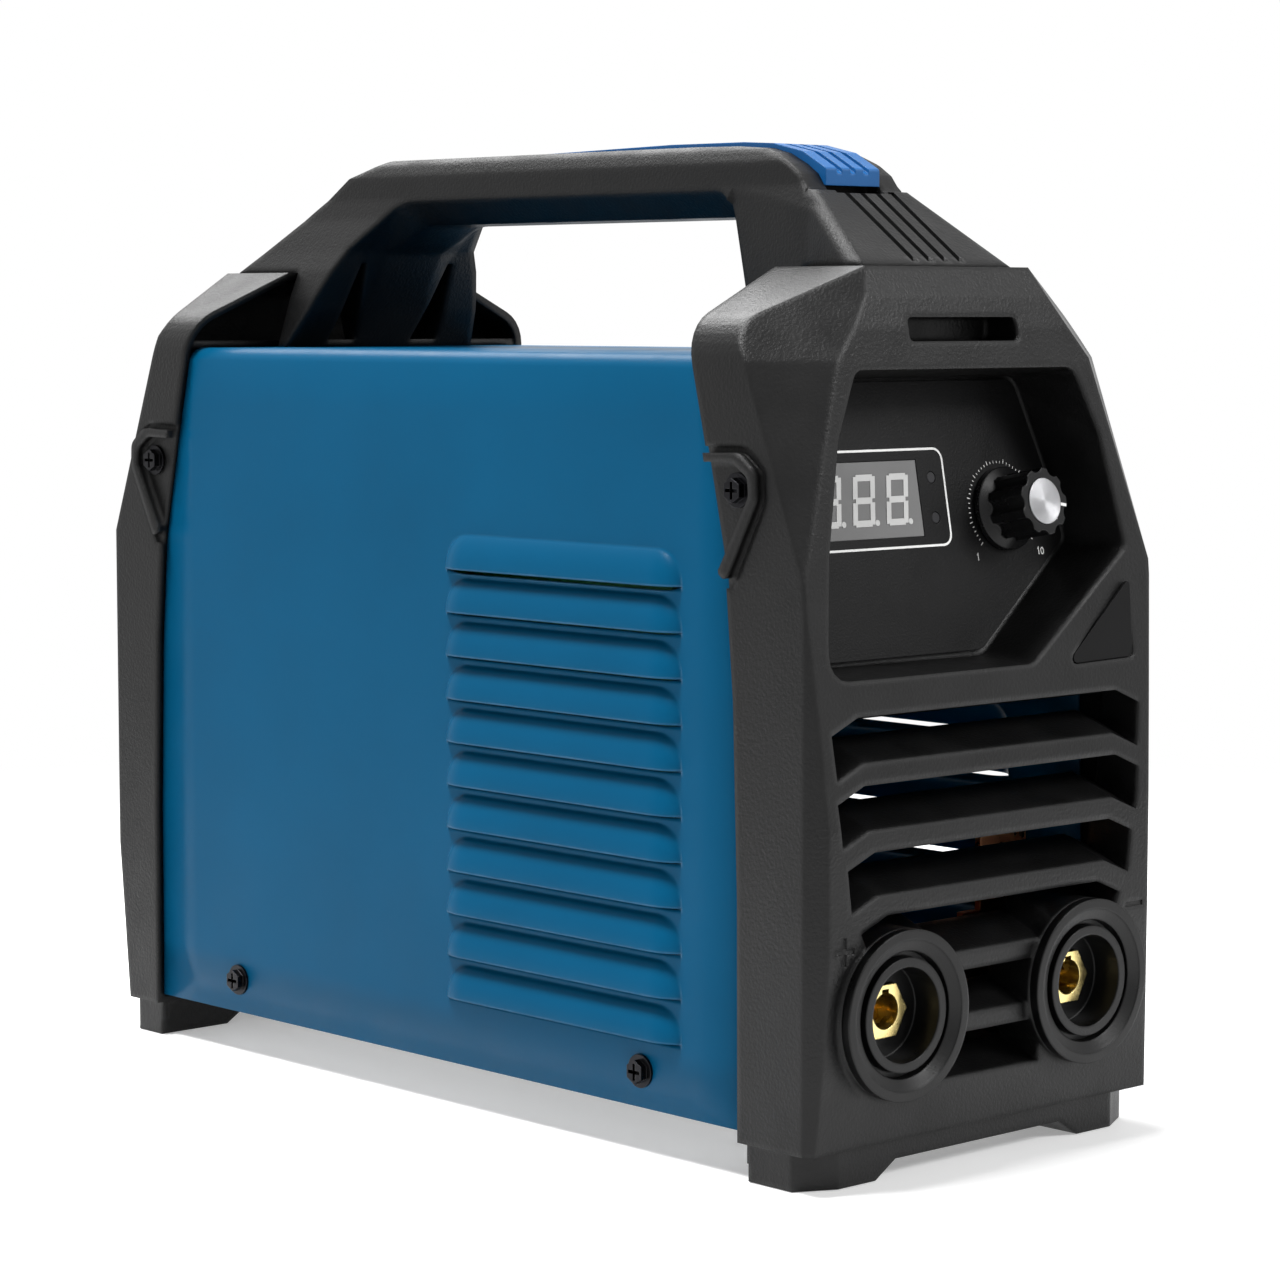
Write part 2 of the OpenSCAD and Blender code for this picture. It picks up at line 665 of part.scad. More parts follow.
// Height at a share of the way up the finger gap, or from the bezels' top to the handle's
function gap_z(share) = cover_top + share * (grip_low - cover_top);
function rise_z(share) = bezel_top + share * (handle_top - bezel_top);
grip_rear = at_front(168.5);    // y of the grip insert's rear end
slope_head = [at_front(51.5), rise_z(0.609)];    // upper end of the front slope as [y, z]
handle_side = rounded([[at_front(54), cover_top], [at_front(72), cover_top],
  [at_front(76.5), gap_z(0.45)], [at_front(81), grip_low], [at_rear(93.5), grip_low],
  [at_rear(74.5), gap_z(0.775)], [at_rear(66.5), gap_z(0.41)], [at_rear(57.5), cover_top],
  [at_rear(54), cover_top], [at_rear(54), bezel_top], [at_rear(24.5), bezel_top],
  [at_rear(50), rise_z(0.55)], [at_rear(65), rise_z(0.85)], [at_rear(80), handle_top],
  [at_front(100), handle_top - 0.2], [at_front(83.5), rise_z(0.985)], [at_front(73.5), rise_z(0.963)],
  [at_front(67.5), rise_z(0.917)], [at_front(61.5), rise_z(0.828)], [at_front(57.5), rise_z(0.745)],
  [at_front(55.5), rise_z(0.66)], [at_front(54.3), rise_z(0.615)], slope_head,
  [at_front(24.5), bezel_top], [at_front(54), bezel_top]],
  [0, 0, 0, 7, 14, 0, 0, 0, 0, 0, 0, 3, 6, 12, 0, 0, 0, 0, 0, 0, 0, 0, 0, 0, 0], 4);
// Half outline of the rear leg and the bar as [x, z]
handle_front = [[36, cover_top - 1], [31, gap_z(0.41)], [27.7, bezel_top + 0.5],
  [24.5, rise_z(0.185)], [handle_hw + 2.5, rise_z(0.48)], [handle_hw + 0.4, rise_z(0.66)],
  [handle_hw, rise_z(0.85)], [handle_hw - 2, handle_top - 1.5], [handle_hw - 5, handle_top + 1]];
// Half outline of the front leg seen from above as [x, y], widening towards the front
handle_plan = [[40, 0], [40, -half_len / 3], [handle_hw + 0.6, at_front(82)],
  [handle_hw + 2.8, slope_head.x], [flat_hw - 1, at_front(27)], [flat_hw - 0.2, -half_len]];
// Rounding of the bar's top edges as [x, z]
handle_top_edge = [[40, cover_top - 1], [40, rise_z(0.42)], [handle_hw + 2.5, rise_z(0.48)],
  [handle_hw + 0.4, rise_z(0.66)], [handle_hw, rise_z(0.85)], [handle_hw - 2, handle_top - 1.5],
  [handle_hw - 5, handle_top + 1]];
// Edge of the finger gap and, further out, of the hollow that runs round it
gap_edge = rounded([[at_front(72), cover_top - 3], [at_front(76.5), gap_z(0.45)],
  [at_front(81), grip_low], [at_rear(93.5), grip_low], [at_rear(74.5), gap_z(0.775)],
  [at_rear(66.5), gap_z(0.41)], [at_rear(57.5), cover_top - 3]], [0, 0, 7, 14, 0, 0, 0], 4);
gap_rim = rounded([[at_front(72), cover_top - 3], [at_front(77), gap_z(0.45)],
  [at_front(82.2), grip_low + 7], [at_rear(90), grip_low + 7], [at_rear(73), gap_z(0.8)],
  [at_rear(66), gap_z(0.41)], [at_rear(57.5), cover_top - 3]], [0, 0, 8, 18, 0, 0, 0], 4);

// Channel in the handle's top for the grip insert, as [y, z]
grip_under = [[grip_rear, handle_top - 2.5], [at_front(89.5), rise_z(0.76)],
  [at_front(69.5), rise_z(0.7)], [at_front(55), rise_z(0.652)]];
grip_over = rounded([[at_front(55), rise_z(0.7)], [at_front(55), rise_z(0.79)],
  [at_front(63.5), rise_z(0.932)], [at_front(74.5), handle_top + 0.2 * grip_rise],
  [at_front(85.5), handle_top + 0.8 * grip_rise], [at_front(113.5), handle_top + grip_rise],
  [grip_rear, handle_top + 0.05]], [0, 1, 3, 4, 3, 0, 0], 3);

// Grooves across the slopes at both ends of the handle
module handle_grooves(run, rise) {
  for (i = [-1.5:1:1.5]) translate([i * 5.8 + 2, at_front(24.5) + run / 2, bezel_top + rise / 2])
    rotate([atan(rise / run), 0, 0]) block([-1, -0.43 * run / cos(atan(rise / run)), -1.3], [1,
      0.5 * run / cos(atan(rise / run)), 5]);
}

module carry_handle() color(plastic) difference() {
  intersection() {
    across(80) polygon(handle_side);
    union() {
      along(-20, half_len) polygon(concat(handle_front, mirrored(handle_front)));
      intersection() {
        translate([0, 0, cover_top - 1]) linear_extrude(90)
          polygon(concat(handle_plan, mirrored(handle_plan)));
        along(-half_len, 0) polygon(concat(handle_top_edge, mirrored(handle_top_edge)));
      }
    }
  }
  across(2 * grip_hw + 2 * fit) polygon(concat(grip_under,
    [[at_front(54.6), handle_top + 9], [grip_rear + 0.4, handle_top + 9]]));
  // the bar narrows towards its underside, and so do the legs beside the gap
  both_sides() hull() {
    across_from(handle_hw - 6.8, handle_hw - 6.7) polygon(gap_edge);
    across_from(handle_hw + 0.5, 42) polygon(gap_rim);
  }
  // hollow under the front end of the grip
  block([-grip_hw - fit, at_front(50), rise_z(0.59)], [grip_hw + fit, at_front(60), rise_z(0.66)]);
  // the folds beside the front slope are broken
  both_sides() intersection() {
    corner_cut([handle_hw + 2.8, slope_head.x, slope_head.y], 40.2, 76.7, 2.2);
    block([0, -half_len, bezel_top - 1], [60, at_front(54.5), handle_top]);
  }
  handle_grooves(slope_head.x - at_front(24.5), slope_head.y - bezel_top);
  mirror([0, 1, 0]) handle_grooves(at_front(50) - at_front(24.5), rise_z(0.55) - bezel_top);
  // tall openings through the rear leg, narrow at the top
  both_sides() along(at_rear(84), at_rear(53.9)) polygon([[10.6, gap_z(0.06)], [20.8, gap_z(0.06)],
    [17.4, gap_z(0.7)], [15.4, gap_z(0.7)]]);
  both_sides() both_ends()
    translate([handle_screw.x, handle_screw.y, bezel_top - 1]) cylinder(h = 9, r = thread_r);
}

module grip_insert() color([0.11, 0.32, 0.72]) difference() {
  across(2 * grip_hw) polygon(concat(grip_under, grip_over));
  // channels between the ribs
  for (i = [-1, 0, 1]) translate([i * 5, 0, 0]) across(2)
    polygon(concat([for (p = grip_over) [p.x, p.y - 1.2]],
      [[grip_rear + 4, handle_top + 14], [at_front(51), handle_top + 14]]));
}

// ---------- screws ----------

// Cross-recessed flange screw along -Z, its flange resting on z = 0
module flange_screw(shank_r, flange_rad, length) {
  difference() {
    union() {
      translate([0, 0, -length]) cylinder(h = length, r = shank_r);
      cylinder(h = 0.8, r = flange_rad);
      translate([0, 0, 0.8]) cylinder(h = 1.9, r = flange_rad * 0.72, $fn = 6);
    }
    for (a = [0, 90]) rotate([0, 0, a]) translate([-flange_rad * 0.5, -0.45, 1]) cube([flange_rad, 0.9, 4]);
  }
}
module side_screw(y, z, x, length) {
  translate([x, y, z]) rotate([0, 90, 0]) flange_screw(thread_r, m4_flange, length);
}

module bezel_screws() color(dark_steel) both_sides() both_ends()
  side_screw(-bezel_screw_y, bezel_screw_z, bezel_hw - pocket_d, 8);
module cover_screws() color(dark_steel) both_sides() both_ends()
  side_screw(-cover_screw_y, cover_screw_z, cover_w / 2, 6);
module tray_screws() color(dark_steel) both_sides() both_ends()
  translate([tray_screw.x, -tray_screw.y, skirt_top]) mirror([0, 0, 1])
    flange_screw(thread_r, m4_flange, 6);
module handle_screws() color(dark_steel) both_sides() both_ends()
  translate([handle_screw.x, -handle_screw.y, bezel_top - wall]) mirror([0, 0, 1])
    flange_screw(thread_r, m4_flange, 9);

// ---------- control panel ----------

module control_panel() color([0.05, 0.05, 0.055]) on_panel() difference() {
  linear_extrude(overlay_t) polygon(overlay);
  panel_holes(0.1);
}

module badge_plate() color([0.08, 0.08, 0.085])
  along(badge_y - 0.8, badge_y) polygon(badge_outline(0.25));

module display_module() color([0.42, 0.42, 0.43]) on_panel()
  block([display_x0, display_s - display_h / 2, overlay_t - 0.2 - display_t],
    [display_x1, display_s + display_h / 2, overlay_t - 0.2]);

// Seven bars and a point for each digit
seg_w = 1.7;
module digit() {
  w = digit_h * 0.6;
  h = digit_h;
  lean = tan(9);
  for (s = [0, 1, 2]) let (y = s * (h - seg_w) / 2)
    translate([lean * y, y, 0]) polygon([[seg_w * 0.6, 0], [w - seg_w * 0.6, 0],
      [w - seg_w * 0.6 + lean * seg_w, seg_w], [seg_w * 0.6 + lean * seg_w, seg_w]]);
  for (x = [0, w - seg_w], s = [0, 1]) let (y = s * h / 2 + 0.5, t = h / 2 - 1)
    polygon([[x + lean * y, y], [x + seg_w + lean * y, y], [x + seg_w + lean * (y + t), y + t],
      [x + lean * (y + t), y + t]]);
  translate([w + 1, seg_w / 2]) circle(r = 0.8, $fn = 16);
}
module display_digits() color([0.86, 0.86, 0.84]) on_panel()
  for (i = [0:2]) translate([-14.6 - i * digit_pitch, display_s - digit_h / 2, overlay_t - 0.2])
    linear_extrude(0.15) digit();

module status_lamps() color([0.75, 0.78, 0.74]) on_panel() for (p = lamp_spots)
  translate([p.x, p.y, board_off]) cylinder(h = overlay_t - 0.1 - board_off, r = 1.4);

board_off = overlay_t - 0.2 - display_t;     // front of the control board, behind the panel
board_pillars = [[-34, -16], [-34, 20], [38, -16], [38, 20]];
module control_board() color(board_green) on_panel()
  block([-40, -20, board_off - board_t], [44, 24, board_off]);

pot_r = 8.2;
neck_r = shaft_r + 1;
neck_top = 4.4;
nut_r = neck_r + 2.4;
module potentiometer() color([0.35, 0.36, 0.34]) on_panel() translate([knob_x, 0, 0]) difference() {
  union() {
    translate([0, 0, board_off]) cylinder(h = -2.5 - board_off, r = pot_r);
    translate([0, 0, -2.6]) cylinder(h = 2.6 + neck_top, r = neck_r);
  }
  translate([0, 0, board_off + 0.6]) cylinder(h = 30, r = shaft_r + run_fit);
}
module potentiometer_nut() color(zinc) on_panel() translate([knob_x, 0, overlay_t]) difference() {
  cylinder(h = 2.2, r = nut_r, $fn = 6);
  translate([0, 0, -1]) cylinder(h = 5, r = neck_r);
}

// ---------- knob ----------

knob_base = overlay_t + 0.5;    // gap between skirt and panel
module knob_shaft() color(zinc) on_panel()
  translate([knob_x, 0, board_off + 1]) cylinder(h = knob_h - 3 - board_off - 1, r = shaft_r);

module current_knob() color([0.1, 0.1, 0.105]) on_panel() translate([knob_x, 0, 0]) difference() {
  union() {
    translate([0, 0, knob_base]) cylinder(h = 1.6, r = skirt_r);
    translate([0, 0, knob_base + 1.6]) cylinder(h = 1.8, r1 = skirt_r, r2 = knob_r - 1.4);
    translate([0, 0, knob_base]) linear_extrude(knob_h - knob_base) difference() {
      circle(r = knob_r);
      for (i = [0:lobes - 1]) rotate((i + 0.5) * 360 / lobes)
        translate([knob_r + 1.5, 0]) circle(r = 2.6);
    }
  }
  cylinder(h = neck_top + 0.6, r = nut_r + 0.6);
  cylinder(h = knob_h - 3, r = shaft_r);
  translate([0, 0, knob_h - 0.6]) cylinder(h = 3, r = cap_r + 0.05);
}
module knob_cap() color(alloy) on_panel() translate([knob_x, 0, 0]) {
  translate([0, 0, knob_h - 0.6]) cylinder(h = 0.9, r = cap_r);
}

// ---------- weld sockets ----------

hex_r = contact_af / 2 / cos(30);
strap_t = 2;
strap_hw = 9;

module weld_socket(x) color(plastic) difference() {
  union() {
    rod(x, socket_z, -half_len, boss_front, flange_r);
    rod(x, socket_z, boss_front - 0.1, spigot_y, spigot_r);
    rod(x, socket_z, boss_front - 0.1, tube_tail, tube_r);
    block([x - 2, boss_front, socket_z], [x + 2, spigot_y + 8, socket_z + tube_r + 1.4]);
  }
  // dished front with a groove round the inner tube
  translate([x, -half_len, socket_z]) rotate([-90, 0, 0])
    rotate_extrude() polygon([[0, -1], [flange_r - 2.6, -1], [flange_r - 2.6, 0.2],
      [tube_r + 1.6, 1.6], [tube_r + 1.6, 4.5], [tube_r, 4.5], [tube_r, 1.2], [0, 1.2]]);
  rod(x, socket_z, -half_len - 1, contact_front + 1.2, tube_r - 2.4);
  translate([x, contact_front + 1, socket_z]) rotate([-90, 0, 0])
    cylinder(h = 60, r = hex_r + 0.05, $fn = 6);
}
module weld_contact(x) color(brass) difference() {
  union() {
    translate([x, contact_front, socket_z]) rotate([-90, 0, 0])
      cylinder(h = tube_tail - contact_front, r = hex_r, $fn = 6);
    rod(x, socket_z, tube_tail - 0.1, contact_rear, 5);
  }
  rod(x, socket_z, contact_front - 1, contact_front + contact_depth, contact_bore_r);
  // keyway of the cable plug's pin
  block([x - 1.2, contact_front - 1, socket_z + contact_bore_r - 1],
    [x + 1.2, contact_front + 9, socket_z + contact_bore_r + 0.9]);
}
module positive_socket() weld_socket(-socket_x);
module negative_socket() weld_socket(socket_x);
module positive_contact() weld_contact(-socket_x);
module negative_contact() weld_contact(socket_x);

module socket_nuts() color(brass) for (s = [-1, 1])
  translate([s * socket_x, tube_tail + strap_t, socket_z]) rotate([-90, 0, 0]) difference() {
    union() {
      cylinder(h = 1.2, r = 10);
      cylinder(h = 6, r = 9.2, $fn = 6);
    }
    translate([0, 0, -1]) cylinder(h = 10, r = 5);
  }

// Copper straps: a plate clamped behind the socket, a riser and a run to the rear
module strap_plate(x, top) {
  difference() {
    union() {
      block([x - 16, tube_tail, socket_z - 16], [x + 16, tube_tail + strap_t, socket_z + 16]);
      block([x - strap_hw, tube_tail, socket_z], [x + strap_hw, tube_tail + strap_t, top]);
    }
    rod(x, socket_z, tube_tail - 1, tube_tail + 4, 5 + fit);
  }
}
module positive_busbar() color(copper) {
  strap_plate(-socket_x, 74);
  block([-socket_x - strap_hw, tube_tail, 72], [-socket_x + strap_hw, choke_y - coil_half - 0.3, 74]);
}
module negative_busbar() color(copper) {
  strap_plate(socket_x, output_top + strap_t);
  block([socket_x - strap_hw, tube_tail, output_top],
    [socket_x + strap_hw, output_y0 + 16, output_top + strap_t]);
}

// ---------- power parts ----------

module base_l(y) {
  block([board_x - 18, y - 8, floor_z], [board_x, y + 8, floor_z + 2]);
  block([board_x - 2, y - 8, floor_z], [board_x, y + 8, board_z0 + 30]);
}
module board_brackets() color(zinc) {
  base_l(board_y0 + 14);
  base_l(board_y1 - 14);
}
module main_board() color(board_green)
  block([board_x, board_y0, board_z0], [board_x + board_t, board_y1, board_z1]);

// Heatsink: an upright base with level fins, its lowest fin flat on the tray
module heatsink(y0, y1, top) {
  fins = floor((top - floor_z) / 8);
  block([sink_x, y0, floor_z], [sink_x + sink_base, y1, top]);
  for (i = [0:fins]) let (z = floor_z + i * (top - 3 - floor_z) / fins)
    block([sink_x + sink_base - 1, y0, z], [sink_x1, y1, z + (i == fins ? 3 : 2)]);
}
module output_heatsink() color(alloy) heatsink(output_y0, output_y1, output_top);
module inverter_heatsink() color(alloy) heatsink(inverter_y0, inverter_y1, inverter_top);

function quarters(a, b) = [a + (b - a) / 4, b - (b - a) / 4];
// Power package bolted to a heatsink, its three legs soldered into the main board
module power_part(y, z) {
  block([sink_x - 5, y - 8, z], [sink_x, y + 8, z + 21]);
  for (i = [-1:1]) {
    block([sink_x - 3, y + i * 5.4 - 0.6, z - 4], [sink_x - 2.2, y + i * 5.4 + 0.6, z + 1]);
    block([parts_x, y + i * 5.4 - 0.6, z - 4.8], [sink_x - 2.2, y + i * 5.4 + 0.6, z - 4]);
  }
}
module power_transistors() color(dark_steel)
  for (y = quarters(inverter_y0, inverter_y1), z = [36, 70]) power_part(y, z);
module output_rectifiers() color(dark_steel)
  for (y = quarters(output_y0, output_y1)) power_part(y, 46);

// Transformer: E core on the tray with a round coil on its middle leg
module transformer_core() color([0.2, 0.2, 0.22]) translate([core_c.x, core_c.y, floor_z]) {
  difference() {
    block([-core_w / 2, -core_d / 2, 0], [core_w / 2, core_d / 2, core_h]);
    block([-core_w / 2 + 9, -core_d, 10], [core_w / 2 - 9, core_d, core_h - 10]);
  }
  translate([0, 0, 9]) cylinder(h = core_h - 18, r = leg_r);
}
// Layer of round wire wound on a former
module coil(r0, r1, z0, z1, wire) {
  turns = floor((z1 - z0) / (2 * wire));
  difference() {
    union() {
      translate([0, 0, z0]) cylinder(h = z1 - z0, r = r1);
      for (i = [0:turns - 1]) translate([0, 0, z0 + wire * (2 * i + 1)])
        rotate_extrude() translate([r1, 0]) circle(r = wire * 0.96, $fn = 16);
    }
    translate([0, 0, z0 - 1]) cylinder(h = z1 - z0 + 2, r = r0);
  }
}
module transformer_winding() color(copper) translate([core_c.x, core_c.y, floor_z])
  coil(leg_r + fit, coil_r, 10.4, core_h - 10.4, coil_wire);

module choke_core() color([0.24, 0.3, 0.22]) translate([choke_x, choke_y, choke_z])
  rotate([90, 0, 0]) rotate_extrude() translate([choke_R, 0]) circle(r = choke_core_r);
module choke_winding() color(copper) translate([choke_x, choke_y, choke_z])
  rotate([90, 0, 0]) difference() {
    union() {
      rotate_extrude() translate([choke_R, 0]) circle(r = choke_core_r + 0.8);
      for (i = [0:15]) rotate([0, 0, i * 22.5]) translate([choke_R, 0, 0]) rotate([90, 0, 0])
        rotate_extrude() translate([choke_core_r + 0.6 + choke_wire, 0]) circle(r = choke_wire, $fn = 16);
    }
    rotate_extrude() translate([choke_R, 0]) circle(r = choke_core_r + 0.02);
  }

module bus_capacitors() color([0.07, 0.09, 0.16]) for (i = [0:2])
  peg(board_y1 - 22 - i * 34, 142, parts_x, parts_x + 46, 15);
module bridge_rectifier() color([0.1, 0.1, 0.1])
  block([parts_x, board_y1 - 44, 104], [parts_x + 7, board_y1 - 14, 122]);
module soft_start_relay() color([0.1, 0.12, 0.3])
  block([parts_x, board_y0 + 10, 162], [parts_x + 18, board_y0 + 38, 178]);

// ---------- fan ----------

module fan_frame() color([0.08, 0.08, 0.085]) difference() {
  union() {
    difference() {
      translate([0, 0, fan_z]) along(fan_y0, fan_y1) polygon(rounded(
        box2(-fan_size / 2, -fan_size / 2, fan_size / 2, fan_size / 2), [4, 4, 4, 4], 4));
      rod(0, fan_z, fan_y0 - 1, fan_y1 - 3, fan_bore_r);
      // openings between the four arms that carry the motor
      translate([0, 0, fan_z]) along(fan_y1 - 3.5, fan_y1 + 1) difference() {
        circle(r = fan_bore_r);
        circle(r = hub_r);
        for (a = [0:3]) rotate(a * 90 + 20) translate([0, -2]) square([fan_size, 4]);
      }
    }
    rod(0, fan_z, fan_y1 - 14, fan_y1 - 2, 4);
  }
  rod(0, fan_z, fan_y0 - 1, fan_y1 - 1.5, pin_r + run_fit);
  for (sx = [-1, 1], sz = [-1, 1])
    rod(sx * fan_hole, fan_z + sz * fan_hole, fan_y0 - 1, fan_y1 + 1, m3_shank + fit);
}
module fan_rotor() color([0.1, 0.1, 0.105]) {
  difference() {
    rod(0, fan_z, fan_y0 + 2, fan_y1 - 4.5, hub_r);
    rod(0, fan_z, fan_y0 + 4, fan_y1, hub_r - 1.5);
  }
  rod(0, fan_z, fan_y0 + 3, fan_y1 - 2.5, pin_r);
  for (i = [0:blades - 1]) translate([0, (fan_y0 + fan_y1) / 2 - 1.5, fan_z])
    rotate([0, i * 360 / blades, 0]) rotate([38, 0, 0])
      block([hub_r - 1, -0.8, -11], [fan_bore_r - 1.5, 0.8, 11]);
}
module fan_screws() color(zinc) for (sx = [-1, 1], sz = [-1, 1])
  translate([sx * fan_hole, fan_y0, fan_z + sz * fan_hole]) rotate([90, 0, 0])
    flange_screw(m3_shank, 3, fan_depth + 9);

// ---------- rear panel parts ----------

rocker_w = 15;
rocker_hh = 12;
pivot_y = rear_y - 0.5;
module switch_housing() color([0.06, 0.06, 0.065]) difference() {
  union() {
    block([switch_x - switch_w / 2 - 2, rear_y, switch_z - switch_hh - 2],
      [switch_x + switch_w / 2 + 2, rear_y + 1.8, switch_z + switch_hh + 2]);
    block([switch_x - switch_w / 2 + fit, rear_y - 22, switch_z - switch_hh + fit],
      [switch_x + switch_w / 2 - fit, rear_y + 1, switch_z + switch_hh - fit]);
  }
  block([switch_x - rocker_w / 2 - clear, rear_y - 8, switch_z - rocker_hh - 0.9],
    [switch_x + rocker_w / 2 + clear, rear_y + 5, switch_z + rocker_hh + 0.9]);
  peg(pivot_y, switch_z, switch_x - rocker_w / 2 - 2, switch_x + rocker_w / 2 + 2, 1.5 + run_fit);
}
// The rocker is drawn in its off position
module switch_rocker() color([0.06, 0.06, 0.065])
  translate([switch_x, pivot_y, switch_z]) rotate([rocker_angle, 0, 0]) {
    across(rocker_w) polygon([[-3, -rocker_hh + 0.5], [4.2, -rocker_hh + 0.2], [2.6, 0],
      [4.2, rocker_hh - 0.2], [-3, rocker_hh - 0.5], [-5, 0]]);
    peg(0, 0, -rocker_w / 2 - 1.6, rocker_w / 2 + 1.6, 1.5);
  }

gland_flange = 4;
module cable_gland() color([0.09, 0.09, 0.095]) difference() {
  union() {
    translate([gland_x, rear_y, switch_z]) rotate([-90, 0, 0]) cylinder(h = gland_flange, r = 14, $fn = 6);
    rod(gland_x, switch_z, rear_y - 10, rear_y + 1, gland_thread_r);
    rod(gland_x, switch_z, rear_y + 1, rear_y + gland_flange + 8, 9);
  }
  rod(gland_x, switch_z, rear_y - 28, half_len + 5, gland_bore_r);
}
module gland_nut() color([0.09, 0.09, 0.095])
  translate([gland_x, rear_y + gland_flange, switch_z]) rotate([-90, 0, 0]) difference() {
    length = half_len - rear_y - gland_flange;
    union() {
      cylinder(h = 9, r = 13.4, $fn = 6);
      rotate_extrude() polygon([[0, 0], [11.5, 0], [11.5, length - 8], [10.4, length - 4],
        [8, length - 1], [6.6, length], [0, length]]);
    }
    translate([0, 0, -1]) cylinder(h = 9, r = 9);
    translate([0, 0, -1]) cylinder(h = length + 10, r = gland_bore_r);
  }
module gland_locknut() color([0.09, 0.09, 0.095])
  translate([gland_x, rear_y - rear_wall, switch_z]) rotate([90, 0, 0]) difference() {
    cylinder(h = 5, r = 14, $fn = 6);
    translate([0, 0, -1]) cylinder(h = 8, r = gland_thread_r);
  }

front_bezel();
rear_bezel();
cover();
base_tray();
carry_handle();
grip_insert();
handle_screws();
bezel_screws();
cover_screws();
tray_screws();
control_panel();
badge_plate();
display_module();
display_digits();
status_lamps();
control_board();
potentiometer();
potentiometer_nut();
knob_shaft();
current_knob();
knob_cap();
positive_socket();
negative_socket();
positive_contact();
negative_contact();
socket_nuts();
positive_busbar();
negative_busbar();
main_board();
board_brackets();
inverter_heatsink();
output_heatsink();
power_transistors();
output_rectifiers();
transformer_core();
transformer_winding();
choke_core();
choke_winding();
bus_capacitors();
bridge_rectifier();
soft_start_relay();
fan_frame();
fan_rotor();
fan_screws();
switch_housing();
switch_rocker();
cable_gland();
gland_nut();
gland_locknut();
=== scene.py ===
import bpy, bmesh, math, json
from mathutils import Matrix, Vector


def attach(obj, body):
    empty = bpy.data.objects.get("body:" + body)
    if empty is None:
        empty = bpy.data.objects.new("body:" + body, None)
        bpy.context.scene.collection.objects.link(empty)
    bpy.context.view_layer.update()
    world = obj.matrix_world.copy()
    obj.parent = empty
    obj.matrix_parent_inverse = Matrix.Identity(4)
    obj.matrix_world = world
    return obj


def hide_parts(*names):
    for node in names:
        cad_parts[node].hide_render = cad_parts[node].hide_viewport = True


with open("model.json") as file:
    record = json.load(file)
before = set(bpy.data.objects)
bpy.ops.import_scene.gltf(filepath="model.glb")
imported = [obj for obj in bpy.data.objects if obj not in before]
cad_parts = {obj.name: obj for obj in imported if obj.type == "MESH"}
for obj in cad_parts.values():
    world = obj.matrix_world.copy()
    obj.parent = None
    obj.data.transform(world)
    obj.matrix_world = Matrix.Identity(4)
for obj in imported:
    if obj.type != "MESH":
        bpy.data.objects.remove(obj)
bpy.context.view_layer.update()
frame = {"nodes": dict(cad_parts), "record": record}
nodes = frame["nodes"]
scene = bpy.context.scene
MM = 0.001


# ---------- camera, solved from the photo ----------

IMAGE_PX, FOCAL_PX, SENSOR_MM = 1280, 3630.4, 36
CAMERA_YAW, CAMERA_PITCH = math.radians(42.576), math.radians(5.193)
CAMERA_AT = Vector((-687.07, -766.14, 217.44))

look = Vector((math.sin(CAMERA_YAW) * math.cos(CAMERA_PITCH),
               math.cos(CAMERA_YAW) * math.cos(CAMERA_PITCH),
               -math.sin(CAMERA_PITCH)))
lens = bpy.data.cameras.new("camera")
lens.sensor_width = SENSOR_MM
lens.lens = SENSOR_MM * FOCAL_PX / IMAGE_PX
lens.clip_start, lens.clip_end = 0.05, 50
camera = bpy.data.objects.new("camera", lens)
camera.location = CAMERA_AT * MM
camera.rotation_euler = look.to_track_quat("-Z", "Y").to_euler()
scene.collection.objects.link(camera)
scene.camera = camera


# ---------- node trees ----------

WHITE = (1, 1, 1, 1)


class Graph:
    """A node tree that is built up step by step."""

    def __init__(self, tree):
        self.t = tree

    def node(self, kind, **props):
        n = self.t.nodes.new("ShaderNode" + kind)
        for k, v in props.items():
            setattr(n, k, v)
        return n

    def link(self, a, b):
        self.t.links.new(a, b)

    def feed(self, value, socket):
        """Links an output to a socket, or sets the socket to a number."""
        if isinstance(value, (int, float)):
            socket.default_value = value
        else:
            self.link(value, socket)

    def calc(self, operation, *values):
        n = self.node("Math", operation=operation)
        for value, socket in zip(values, n.inputs):
            self.feed(value, socket)
        return n.outputs["Value"]

    def seen_direct(self):
        """1 for camera, glossy and transmission rays, which show the plain white studio."""
        path = self.node("LightPath").outputs
        total = path["Is Camera Ray"]
        for kind in ("Is Glossy Ray", "Is Transmission Ray"):
            total = self.calc("MAXIMUM", total, path[kind])
        return total

    def glow(self, strength):
        """White light given off by a surface."""
        n = self.node("Emission")
        n.inputs["Color"].default_value = WHITE
        self.feed(strength, n.inputs["Strength"])
        return n.outputs["Emission"]

    def mix_surfaces(self, factor, a, b):
        n = self.node("MixShader")
        self.link(factor, n.inputs["Fac"])
        self.link(a, n.inputs[1])
        self.link(b, n.inputs[2])
        return n.outputs["Shader"]


# ---------- materials ----------

# How far the bevelled normal leaves the real one, as a cosine, where an edge begins and is full
EDGE_BEGINS, EDGE_FULL = 0.998, 0.93
BEVEL_SAMPLES = 6


